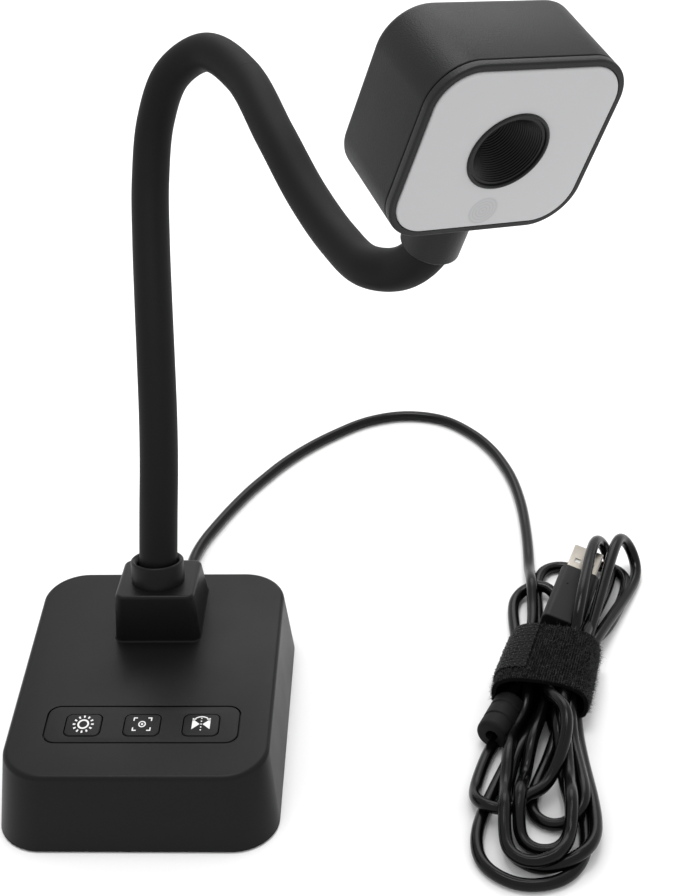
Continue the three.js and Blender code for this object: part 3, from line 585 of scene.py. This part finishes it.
def on_plug(x, y, z, lying=True):
    """A place on the plug, from the middle of its grip's near end; lying turns Z along the plug."""
    near_end = (PLUG_X, GRIP_START, GRIP_BOTTOM + GRIP_SIZE[2] / 2)
    place = HANK @ Matrix.Translation(near_end) @ Matrix.Rotation(PLUG_TURN, 4, "Z")
    place = place @ Matrix.Rotation(PLUG_ROLL, 4, "Y") @ Matrix.Translation((x, y, z))
    return place @ Matrix.Rotation(-math.pi / 2, 4, "X") if lying else place


def make_plug():
    """The grip with its dimples, and the folded metal shell with its two windows."""
    width, length, height = GRIP_SIZE
    grip = plate("plug_grip_moulding", (width, height), 0.0026, 0, length, 0.0007,
                 place=on_plug(0, 0, 0), foot=0.0006)
    for x, y in ((-0.0032, 0.0215), (0.0037, 0.0185), (0.0037, 0.0215)):
        place = on_plug(x, y, height / 2, lying=False)
        cut(grip, turned("dimple", [(0.00035, -0.0003), (0.00035, 0.001)], place, count=16))
    settle_in(grip, "base", GRIP, "rubber_black", "plug_grip")
    start = length + SHELL_GAP
    place, (width, length, height) = on_plug(0, start, 0), SHELL_SIZE
    shell = plate("plug_shell_sheet", (width, height), 0.0005, 0, length, 0.0001, place=place, steps=2)
    cut(shell, plate("hollow", (width - 2 * SHELL_WALL, height - 2 * SHELL_WALL), 0.0003, 0.0008, 0.03,
                     0.0001, place=place, steps=2))
    for x in (-0.0028, 0.0028):
        place = on_plug(x, start + 0.0062, 0, lying=False)
        cut(shell, plate("window", (0.0023, 0.0025), 0.0002, -0.006, 0.006, 0.0001, place=place, steps=2))
    settle_in(shell, "base", NICKEL, "nickel", "plug_shell")
    return [grip, shell, nodes["plug_tongue"]]


def make_ferrite():
    """The bead round the cord, with round rims and two grooves."""
    half, radius, rim, groove = FERRITE["length"] / 2, FERRITE["radius"], 0.0017, 0.0004
    profile = [(LEAD_DIAMETER / 2 + 0.0001, -half)]
    profile += [(radius - inward, -half + up) for up, inward in quarter(rim, 6)]
    profile += [(radius - deep, -half * part) for deep, part in
                ((0, 0.42), (groove, 0.38), (groove, 0.30), (0, 0.26))]
    profile += [(r, -z) for r, z in reversed(profile)]
    place = HANK @ Matrix.Translation(FERRITE["at"]) @ Matrix.Rotation(-FERRITE["turn"], 4, "Z")
    place = place @ Matrix.Rotation(-math.pi / 2, 4, "X")
    bead = turned("ferrite_moulding", profile, place, closed=True, count=48)
    return settle_in(bead, "base", SOFT_RUBBER, "rubber_black", "ferrite_bead")


def tie_outline(inset, squareness=2.7):
    """The strap's section: a flattened round, squarer the higher squareness is above 2."""
    half_w, half_h = TIE_WIDTH / 2 - inset, TIE_HEIGHT / 2 - inset
    points = []
    for k in range(OUTLINE_STEPS):
        a = 2 * math.pi * k / OUTLINE_STEPS
        c, s = math.cos(a), math.sin(a)
        r = (abs(c) ** squareness + abs(s) ** squareness) ** (-1 / squareness)
        points.append((half_w * r * c, half_h * r * s))
    return points


def strap_point(x, z, t, swell=1.0):
    """A point of the section at t, from 0 at the strap's front to 1 at its rear, which is drawn in."""
    draw = 1 - 0.075 * t**1.5
    return (x * draw * swell + 0.0012 * t, TIE_FRONT + t * (TIE_REAR - TIE_FRONT), TIE_MIDDLE + z * swell)


def make_tie():
    """The strap: a band round the hank, with the hook tape's end lapped over its left part."""
    rows, lap_rows, hooks_across, hooks_along = 40, 24, 13, 13
    outer, inner = tie_outline(0), tie_outline(TIE_THICK)
    wobble = np.random.default_rng(WOBBLE_SEED).normal(0, 1, (rows + 1, OUTLINE_STEPS))
    for _ in range(3):
        wobble = (np.roll(wobble, 1, 1) + 2 * wobble + np.roll(wobble, -1, 1)) / 4
        wobble[1:-1] = (wobble[:-2] + 2 * wobble[1:-1] + wobble[2:]) / 4
    rings = []
    for i in range(rows + 1):
        t = i / rows
        rings.append([strap_point(x, z, t, 1 - 0.03 * math.sin(math.pi * t) - 0.012 * abs(w))
                      for (x, z), w in zip(outer, wobble[i])])
    rings += [[strap_point(x, z, t) for x, z in inner] for t in (1, 0.5, 0)]
    band = loft("strap_band", rings, closed=True, place=HANK)
    settle_in(band, "base", LOOPS, "fabric_black", "hook_loop_tie")
    above, below = [], []
    for i in range(lap_rows + 1):
        t = LAP_START + (1 - LAP_START) * i / lap_rows
        above.append([strap_point(x, z, t, 1.05) for x, z in outer[LAP[0]:LAP[1]]])
        below.append([strap_point(x, z, t, 0.98) for x, z in outer[LAP[0]:LAP[1]]])
    lap = loft("strap_hook_end", [a + b[::-1] for a, b in zip(above, below)], place=HANK)
    settle_in(lap, "base", HOOKS, "fabric_black")
    random = np.random.default_rng(FIBRE_SEED)
    loops = [(random.uniform(-8, 68), random.uniform(0, 1)) for _ in range(LOOP_FIBRES)]
    loops = [(k, t) for k, t in loops if not (LAP[0] < k < LAP[1] and t > LAP_START)]
    fuzz = fibres("strap_fuzz", outer, loops, random, (0.0004, 0.0016), 0.00007, 0.8, 0.975)
    # The fuzz's lighter colour is painted sheen.
    settle_in(fuzz, "base", FIBRE_PAINTED_SHEEN, "fabric_black")
    grid = [(LAP[0] + 0.9 + 1.7 * a + 0.85 * (b % 2), 0.23 + 0.062 * b)
            for a in range(hooks_across) for b in range(hooks_along)]
    hooks = fibres("strap_hooks", outer, grid, random, (0.0004, 0.0007), 0.00026, 0.25, 1.05)
    # The prongs' light colour is painted glint.
    settle_in(hooks, "base", PRONGS_PAINTED_GLINT, "fabric_black")
    return [band, lap, fuzz, hooks]


def fibres(name, outer, roots, random, lengths, thick, stray, swell):
    """Small bent hairs on the strap's face, at places (step round it, t along it)."""
    vertices, faces = [], []
    for k, t in roots:
        x, z = outer[int(k) % len(outer)]
        out = Vector((x / (TIE_WIDTH / 2) ** 2, 0, z / (TIE_HEIGHT / 2) ** 2)).normalized()
        lean = Vector(random.normal(0, stray, 3))
        long = random.uniform(*lengths)
        root = Vector(strap_point(x, z, t, swell)) - out * 0.0003
        middle = root + out * (long * 0.6 + 0.0003)
        tip = middle + (out * 0.3 + lean * 0.7) * long
        across = out.cross(lean).normalized() * thick
        other = out.cross(across).normalized() * thick
        at = len(vertices)
        for point, width in ((root, 1.0), (middle, 0.9)):
            for u, v in ((1, 0), (-0.5, 0.87), (-0.5, -0.87)):
                vertices.append(point + (across * u + other * v) * width)
        vertices.append(tip)
        for m in range(3):
            n = (m + 1) % 3
            faces += [(at + m, at + n, at + 3 + n, at + 3 + m), (at + 3 + m, at + 3 + n, at + 6)]
        faces.append((at + 2, at + 1, at))
    return mesh_piece(name, vertices, faces, HANK, smooth=False)


lead = make_lead()
on_lead = [*make_plug(), make_ferrite(), *make_tie()]

# ---------- base ----------

BASE = dict(width=0.0956, depth=0.121, top_width=0.0899, top_depth=0.1116, top_shift=0.00235,
            height=0.0277, corner=0.0155, edge=0.0016, wall=0.0024, lift=0.0004)
CENTRE_X = 0.0008  # the middle of the panel, the pedestal and the neck's root
PANEL = dict(size=(0.066, 0.018), corner=0.0042, thick=0.0009, y=-0.0274, groove=0.0005)
KEY = dict(size=(0.0122, 0.0108), corner=0.0022, proud=0.0004, y=-0.028, pitch=0.0202, gap=0.0003)
KEY_NAMES = ("brightness", "focus", "mirror")
KEY_X = [CENTRE_X + (i - 1) * KEY["pitch"] for i in range(len(KEY_NAMES))]
ICON_TALL = 1.2


def base_ring(inset, z):
    """The base's outline at height z, pulled in by inset."""
    t = z / BASE["height"]
    width = BASE["width"] + t * (BASE["top_width"] - BASE["width"]) - 2 * inset
    depth = BASE["depth"] + t * (BASE["top_depth"] - BASE["depth"]) - 2 * inset
    corner = max(BASE["corner"] - inset, 0.001)
    return rounded(width, depth, corner, z, (0, t * BASE["top_shift"]), steps=20)


def cut_slot(piece, size, grow, corner, bottom, top, middle):
    """Cuts a slot with round corners, grow wider all round than size."""
    wider = tuple(side + 2 * grow for side in size)
    cut(piece, plate("slot", wider, corner, bottom, top, 0.0001, middle))


def make_base():
    """The hollow shell with the panel's pocket and the keys' wells, and the panel with its holes."""
    top, wall, lift, chamfer = BASE["height"], BASE["wall"], BASE["lift"], 0.0003
    middle = (CENTRE_X, PANEL["y"])
    rings = [base_ring(chamfer, lift), base_ring(0, lift + chamfer)]
    rings += [base_ring(inset, top - down) for inset, down in quarter(BASE["edge"], 8)]
    shell = loft("base_shell_moulding", rings)
    cut(shell, loft("hollow", [base_ring(wall, -0.001), base_ring(wall, top - wall)]))
    groove, gap = PANEL["groove"], KEY["gap"]
    cut_slot(shell, PANEL["size"], groove, PANEL["corner"] + groove, top - PANEL["thick"] - 0.0003,
             top + 0.002, middle)
    for x in KEY_X:
        cut_slot(shell, KEY["size"], 0.001, KEY["corner"], top - 0.006, top + 0.001, (x, KEY["y"]))
    settle_in(shell, "base", SATIN, "satin_black", "base_shell")

    panel = plate("key_panel", PANEL["size"], PANEL["corner"], top - PANEL["thick"], top + 0.00012, 0.0004,
                  middle)
    for x in KEY_X:
        cut_slot(panel, KEY["size"], gap, KEY["corner"] + gap, top - 0.003, top + 0.001, (x, KEY["y"]))
    settle_in(panel, "base", SATIN, "satin_black", "button_panel")


def flat_ink(name, shapes, place, thick=0.00006):
    """Thin printed shapes, each a list of outline points, as one raised piece."""
    vertices, faces = [], []
    for shape in shapes:
        at, n = len(vertices), len(shape)
        vertices += [(x, y, -thick) for x, y in shape] + [(x, y, thick) for x, y in shape]
        faces += [tuple(range(at + n - 1, at - 1, -1)), tuple(range(at + n, at + 2 * n))]
        faces += [(at + k, at + (k + 1) % n, at + n + (k + 1) % n, at + n + k) for k in range(n)]
    return mesh_piece(name, vertices, faces, place, smooth=False)


def band_shapes(inner, outer, start=0, stop=360, count=40):
    """A ring or arc as quads."""
    angles = [math.radians(start + (stop - start) * k / count) for k in range(count + 1)]
    return [[(inner * math.cos(a), inner * math.sin(a)), (outer * math.cos(a), outer * math.sin(a)),
             (outer * math.cos(b), outer * math.sin(b)), (inner * math.cos(b), inner * math.sin(b))]
            for a, b in zip(angles, angles[1:])]


def dot(x, y, radius):
    """A round dot."""
    return [(x + u, y + v) for u, v, _ in circle(radius, 0, 14)]


def tall(shapes):
    """Shapes a little longer up the panel than across it."""
    return [[(x, y * ICON_TALL) for x, y in shape] for shape in shapes]


def sun_shapes(rays=12):
    """A ring with rays round it."""
    shapes = band_shapes(0.0014, 0.0020)
    for k in range(rays):
        a = math.radians(360 / rays * k)
        shapes.append([(r * math.cos(a + w), r * math.sin(a + w)) for r, w in
                       ((0.0027, -0.09), (0.0036, -0.09), (0.0036, 0.09), (0.0027, 0.09))])
    return tall(shapes)


def bracket_shapes():
    """Four corner brackets round a ring and a dot."""
    reach_x, reach_y, arm, thick = 0.0032, 0.0028, 0.0014, 0.0004
    shapes = []
    for sx in (-1, 1):
        for sy in (-1, 1):
            corner = [(reach_x, reach_y), (reach_x, reach_y - arm), (reach_x - thick, reach_y - arm),
                      (reach_x - thick, reach_y - thick), (reach_x - arm, reach_y - thick),
                      (reach_x - arm, reach_y)]
            ring = [(sx * x, sy * y) for x, y in corner]
            shapes.append(ring if sx * sy < 0 else ring[::-1])
    return tall(shapes + band_shapes(0.0009, 0.0013, count=28) + [dot(0, 0, 0.0004)])


def mirror_shapes():
    """Two wings either side of a dotted line, under an arc with an arrowhead at each end."""
    wing = [(-0.0031, -0.0021), (-0.0005, 0), (-0.0031, 0.0021)]
    shapes = [wing, [(-x, y) for x, y in wing[::-1]]]
    shapes += [dot(0, y, 0.00024) for y in (-0.0024, -0.0012, 0.0, 0.0012, 0.0024)]
    end, inner, outer, low = 42, 0.0032, 0.0036, 0.0003
    arc = [[(x, y - low) for x, y in quad] for quad in band_shapes(inner, outer, end, 180 - end, 20)]
    for side in (-1, 1):
        x, y = side * 0.0034 * math.cos(math.radians(end)), 0.0034 * math.sin(math.radians(end)) - low
        head = [(x - side * 0.0008, y + 0.0001), (x + side * 0.0004, y - 0.0007),
                (x + side * 0.0006, y + 0.0006)]
        arc.append(head if side > 0 else head[::-1])
    return tall(shapes + arc)


def make_keys():
    """The three key caps, each with its icon."""
    bottom, top = BASE["height"] - 0.0016, BASE["height"] + KEY["proud"]
    drawings = (sun_shapes(), bracket_shapes(), mirror_shapes())
    for x, name, shapes in zip(KEY_X, KEY_NAMES, drawings):
        cap = plate(name + "_key_cap", KEY["size"], KEY["corner"], bottom, top, 0.0005, (x, KEY["y"]))
        settle_in(cap, name + "_key", KEYS, "button_black", name + "_button")
        icon = flat_ink(name + "_icon", shapes, Matrix.Translation((x, KEY["y"] + 0.0002, top)))
        settle_in(icon, name + "_key", INK, "milk_white")


make_base()
make_keys()

# ---------- pedestal, socket and gland ----------

PEDESTAL = dict(width=0.031, top_width=0.0284, front=0.0168, rear=0.050, top_front=(0.0181, 0.0472),
                top_rear=(0.047, 0.0424), edge=0.0012, upright_edge=0.0030, foot=0.0009)
NECK_ROOT = dict(y=0.031, z=0.0439, lean=math.radians(-13.6))
SOCKET = dict(radius=0.0096, height=0.0092, dish=0.0014, bore=0.0071)


def make_pedestal():
    """The block with its round uprights and rim, and the fillet at its foot."""
    low, front, rear = BASE["height"], PEDESTAL["front"], PEDESTAL["rear"]
    upright_edge, foot = PEDESTAL["upright_edge"], PEDESTAL["foot"]
    corners = []
    for width, points in ((PEDESTAL["width"], ((front, low), (rear, low))),
                          (PEDESTAL["top_width"], (PEDESTAL["top_front"], PEDESTAL["top_rear"]))):
        half = width / 2
        for y, z in points:
            corners += [(CENTRE_X - half, y, z), (CENTRE_X + half, y, z)]
    faces = [(0, 1, 5, 4), (2, 6, 7, 3), (0, 4, 6, 2), (1, 3, 7, 5), (4, 5, 7, 6), (0, 2, 3, 1)]
    block = mesh_piece("pedestal_moulding", corners, faces)
    outward(block)
    work = bmesh.new()
    work.from_mesh(block.data)
    upright = [e for e in work.edges if abs(e.verts[0].co.z - e.verts[1].co.z) > 0.01]
    bmesh.ops.bevel(work, geom=upright, offset=upright_edge, segments=8, profile=0.5, affect="EDGES")
    bmesh.ops.dissolve_limit(work, angle_limit=0.001, verts=work.verts, edges=work.edges)
    lid = max(work.faces, key=lambda f: f.calc_center_median().z)
    bmesh.ops.bevel(work, geom=list(lid.edges), offset=PEDESTAL["edge"], segments=5, profile=0.5,
                    affect="EDGES")
    work.to_mesh(block.data)
    work.free()
    block.data.shade_smooth()
    block.data.set_sharp_from_angle(angle=SMOOTH_UNDER)
    settle_in(block, "base", SATIN, "satin_black", "pedestal")
    size = (PEDESTAL["width"] + 2 * foot, rear - front + 2 * foot)
    middle = (CENTRE_X, (front + rear) / 2)
    rings = [rounded(*size, upright_edge + foot, low - 0.0006, middle)]
    for up, out in quarter(foot, 5):
        shrink = 2 * (foot - out)
        rings.append(rounded(size[0] - shrink, size[1] - shrink, upright_edge + out, low - 0.0002 + up,
                             middle))
    fillet = loft("pedestal_foot", rings)
    settle_in(fillet, "base", SATIN, "satin_black")


def root_matrix():
    """The frame of the neck's root: Z leaves the pedestal along the neck."""
    place = Matrix.Translation((CENTRE_X, NECK_ROOT["y"], NECK_ROOT["z"]))
    return place @ Matrix.Rotation(NECK_ROOT["lean"], 4, "X")


def make_socket():
    """The ring round the neck's root, dished at its mouth."""
    radius, height, dish, bore = (SOCKET[k] for k in ("radius", "height", "dish", "bore"))
    profile = [(bore, -0.0015), (radius, -0.0015)]
    profile += [(radius - inward, height - down) for inward, down in quarter(0.0008, 5)]
    profile += [(radius - 0.0014, height - 0.0003), (bore + 0.0002, height - dish),
                (bore, height - dish - 0.0003)]
    socket = turned("neck_socket_moulding", profile, root_matrix(), closed=True)
    settle_in(socket, "base", SATIN, "satin_black", "neck_socket")


GLAND = dict(at=(0.0024, 0.0598, 0.0105), turn=math.radians(-1), rise=math.radians(-4),
             radius=0.0038, tip=0.0029, length=0.0106)


def make_gland():
    """The tapered strain relief, with ribs round it."""
    place = (Matrix.Translation(GLAND["at"]) @ Matrix.Rotation(GLAND["turn"], 4, "Z")
             @ Matrix.Rotation(GLAND["rise"] - math.pi / 2, 4, "X"))
    radius, tip, length, bore = GLAND["radius"], GLAND["tip"], GLAND["length"], LEAD_DIAMETER / 2 + 0.0001
    profile = [(bore, 0), (radius, 0), (radius, 0.0018)]
    for k in range(3):
        z = 0.002 + k * 0.0021
        r = radius + (tip - radius) * z / length
        profile += [(r - 0.0005, z), (r - 0.0005, z + 0.0006), (r, z + 0.0008), (r - 0.00005, z + 0.0019)]
    profile += [(tip - 0.0001, length - 0.0004), (tip - 0.0004, length), (bore, length)]
    relief = turned("strain_relief", profile, place, closed=True, count=48)
    settle_in(relief, "base", SOFT_RUBBER, "rubber_black", "cable_gland")


make_pedestal()
make_socket()
make_gland()

# ---------- neck ----------

# The neck's centre line between the socket and the head's collar.
NECK_LINE = [
    (0.0022, 0.039, 0.071), (0.0026, 0.0465, 0.0845), (0.0023, 0.0563, 0.0975), (0.0012, 0.0705, 0.114),
    (-0.0002, 0.086, 0.1302), (-0.0015, 0.1018, 0.1466), (-0.002, 0.1165, 0.1638), (0.0002, 0.1277, 0.1825),
    (0.007, 0.1305, 0.1987), (0.0206, 0.1247, 0.2094), (0.0352, 0.1066, 0.2074), (0.048, 0.0785, 0.1968),
    (0.0595, 0.055, 0.1856), (0.0705, 0.0346, 0.179), (0.0795, 0.0205, 0.177), (0.0904, 0.0114, 0.1806),
]
NECK_RADIUS = 0.0069
COLLAR_AXIS = Vector(joints["head_swivel"]["axis"]).normalized()
COLLAR_MIDDLE = Vector(joints["head_swivel"]["pos_m"])
COLLAR = dict(radius=0.0094, below=0.0082, above=0.0101, bore=0.0071)


def make_neck(spacing=0.0008):
    """The sleeve, in one length round each hinge, cut halfway between neighbouring hinges."""
    root = root_matrix() @ Vector((0, 0, 0.001))
    mouth = [COLLAR_MIDDLE + COLLAR_AXIS * h for h in (-0.010, 0.002)]
    line = evenly(catmull_rom([root, *NECK_LINE, *mouth], 0.0005), spacing)
    hinges = [Vector(joints[f"neck_bend_{i}"]["pos_m"]) for i in range(1, 7)]
    at = [int(np.linalg.norm(line - np.array(h), axis=1).argmin()) for h in hinges]
    cuts = [0] + [(a + b) // 2 for a, b in zip(at, at[1:])] + [len(line) - 1]
    for i, (start, stop) in enumerate(zip(cuts, cuts[1:])):
        part = line[start:stop + 1]
        sleeve = tube(f"neck_sleeve_part_{i + 1}", part, NECK_RADIUS)
        sleeve.data.materials.append(RUBBER)
        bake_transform(sleeve)
        stands_for = [f"neck_sleeve_{i + 1}"] + (["neck_sleeve_7"] if i == 5 else [])
        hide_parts(*stands_for)


make_neck()

# ---------- head ----------

FACE_OUT = Vector(joints["autofocus_travel"]["axis"]).normalized()
FACE_UP = (COLLAR_AXIS - FACE_OUT * COLLAR_AXIS.dot(FACE_OUT)).normalized()
FACE_RIGHT = FACE_UP.cross(FACE_OUT)
HEAD = dict(width=0.066, height=0.0595, depth=0.0316, rear_width=0.066, rear_height=0.0576,
            corner=0.0141, rim=0.0020, rear_edge=0.0024, bezel=0.0028, plate_proud=0.0004)
EYE = dict(ring=0.0132, hole=0.0121, proud=0.0011, depth=0.0125, throat=0.0044, steps=20)
TOUCH_Y, TOUCH_RADIUS = -0.0215, 0.0052


def face_matrix():
    """The face's own frame: its front's middle, X to its right, Y up it and Z out of it."""
    axes = Matrix((FACE_RIGHT, FACE_UP, FACE_OUT)).transposed()
    bezel = np.array([v.co for v in nodes["head_bezel"].data.vertices]) @ np.array(axes)
    low, high = bezel.min(0), bezel.max(0)
    middle = Vector(((low[0] + high[0]) / 2, (low[1] + high[1]) / 2, high[2]))
    return Matrix.Translation(axes @ middle) @ axes.to_4x4()


FACE = face_matrix()


def head_ring(inset, z):
    """The head's outline at z behind its face, pulled in by inset."""
    t = -z / HEAD["depth"]
    width = HEAD["width"] + t * (HEAD["rear_width"] - HEAD["width"]) - 2 * inset
    height = HEAD["height"] + t * (HEAD["rear_height"] - HEAD["height"]) - 2 * inset
    return rounded(width, height, max(HEAD["corner"] - inset, 0.001), z, steps=20)


def rounded_rim(z, edge, out, steps=6, inset=0.0):
    """Rings that round the head's rim off at z, from its side to the end; out is 1 at the front end."""
    return [head_ring(inset + inward, z - out * back) for inward, back in quarter(edge, steps)]


def make_housing():
    """The hollow housing, and the bezel in front of it across a fine seam."""
    rear, front = -HEAD["depth"], -HEAD["bezel"] - 0.00015
    rings = rounded_rim(rear, HEAD["rear_edge"], -1)[::-1]
    rings += rounded_rim(front, 0.00035, 1, 3)
    rings += [head_ring(HEAD["rim"], front), head_ring(HEAD["rim"], rear + HEAD["rim"])]
    housing = loft("head_housing_moulding", rings, place=FACE)
    settle_in(housing, "head", HEAD_SATIN, "satin_black", "head_housing")

    inner, back = HEAD["rim"] + 0.0002, -HEAD["bezel"] + 0.00015
    rings = [head_ring(inner, back), *rounded_rim(back, 0.00035, -1, 3)[::-1], *rounded_rim(0, 0.0007, 1),
             head_ring(inner - 0.0003, 0), head_ring(inner, -0.0003)]
    bezel = loft("head_bezel_moulding", rings, closed=True, place=FACE)
    settle_in(bezel, "head", HEAD_SATIN, "satin_black", "head_bezel")


def make_face():
    """The milky light plate, with its hole for the lens."""
    top, inset, hole = HEAD["plate_proud"], HEAD["rim"] + 0.00025, EYE["ring"] - 0.0007
    rings = [head_ring(inset, top - 0.002), *rounded_rim(top, 0.0007, 1, inset=inset)]
    panel = loft("face_plate", rings, place=FACE)
    cut(panel, turned("hole", [(hole, top - 0.01), (hole, top + 0.01)], FACE))
    settle_in(panel, "head", milky("face_milky", TOUCH_Y, TOUCH_RADIUS), "milk_white", "diffuser")


def make_eye():
    """The bezel ring, and the stepped funnel in front of the lens."""
    ring, hole, proud = EYE["ring"], EYE["hole"], EYE["proud"]
    profile = [(hole, -0.0006), (ring, -0.0006)]
    profile += [(ring - inward, proud - down) for inward, down in quarter(0.0006, 6)]
    profile += [(hole + 0.0003, proud), (hole, proud - 0.0003)]
    bezel = turned("lens_ring_moulding", profile, FACE, closed=True, count=128)
    settle_in(bezel, "head", HEAD_SATIN, "satin_black", "lens_ring")

    mouth, throat, depth, steps = hole - 0.0002, EYE["throat"], EYE["depth"], EYE["steps"]
    lip, front = mouth - 0.0009, 0.0003
    profile = [(mouth + 0.0001, -depth), (mouth + 0.0001, front), (lip, front)]
    for k in range(steps):
        r0, r1 = (lip - (lip - throat) * m / steps for m in (k, k + 1))
        z0, z1 = (front - (depth + front) * m / steps for m in (k, k + 1))
        profile += [(r0 - 0.00006, z0 - 0.00012), (r0 + 0.00002, z1 + 0.00012),
                    (r1 + 0.00006, z1 + 0.00001)]
    profile.append((throat, -depth))
    funnel = turned("lens_funnel_moulding", profile, FACE, closed=True, count=128)
    settle_in(funnel, "head", FUNNEL, "rubber_black", "lens_funnel")


def make_collar():
    """The collar under the head, with its dished mouth round the neck."""
    radius, below, above, bore = (COLLAR[k] for k in ("radius", "below", "above", "bore"))
    profile = [(bore, above), (bore, -below + 0.003), (bore + 0.0004, -below + 0.0006),
               (radius - 0.0012, -below)]
    profile += [(radius - inward, -below + up) for up, inward in quarter(0.0007, 5)]
    profile += [(radius, above - 0.0004), (radius - 0.0004, above)]
    turn = FACE_OUT.cross(COLLAR_AXIS).normalized()
    axes = Matrix((turn, COLLAR_AXIS.cross(turn), COLLAR_AXIS)).transposed()
    place = Matrix.Translation(COLLAR_MIDDLE) @ axes.to_4x4()
    collar = turned("head_collar_moulding", profile, place, closed=True)
    settle_in(collar, "head", HEAD_SATIN, "satin_black", "head_collar")


make_housing()
make_face()
make_eye()
make_collar()

# ---------- floor and light ----------


def make_stage(half=6):
    """A pale floor under an even white sky."""
    floor = mesh_piece("floor", [(-half, -half, 0), (half, -half, 0), (half, half, 0), (-half, half, 0)],
                       [(0, 1, 2, 3)])
    pale = moulded("pale_floor", (0.86, 0.86, 0.86), 0.7, 40, 0.00001, specular=0.2, patches=0.4)
    floor.data.materials.append(pale)
    world = bpy.data.worlds.new("studio")
    bpy.context.scene.world = world
    world.use_nodes = True
    sky = world.node_tree.nodes["Background"]
    sky.inputs["Color"].default_value = (1, 1, 1, 1)
    sky.inputs["Strength"].default_value = 1.0


def softbox(name, at, to, size, power):
    """A wide soft light at one place, facing another."""
    light = bpy.data.lights.new(name, "AREA")
    light.shape, light.size, light.size_y = "RECTANGLE", size[0], size[1]
    light.energy = power
    holder = placed(name, light)
    holder.location = at
    holder.rotation_euler = (Vector(to) - Vector(at)).to_track_quat("-Z", "Y").to_euler()
    holder.visible_camera = False


make_stage()
softbox("overhead", (0.0, 0.25, 1.5), (0.06, 0.05, 0.1), (0.7, 0.5), 10)
softbox("behind", (0.15, 1.2, 1.15), (0.114, 0, 0.235), (1.0, 0.8), 6.5)
bpy.context.scene.view_settings.view_transform = "Standard"
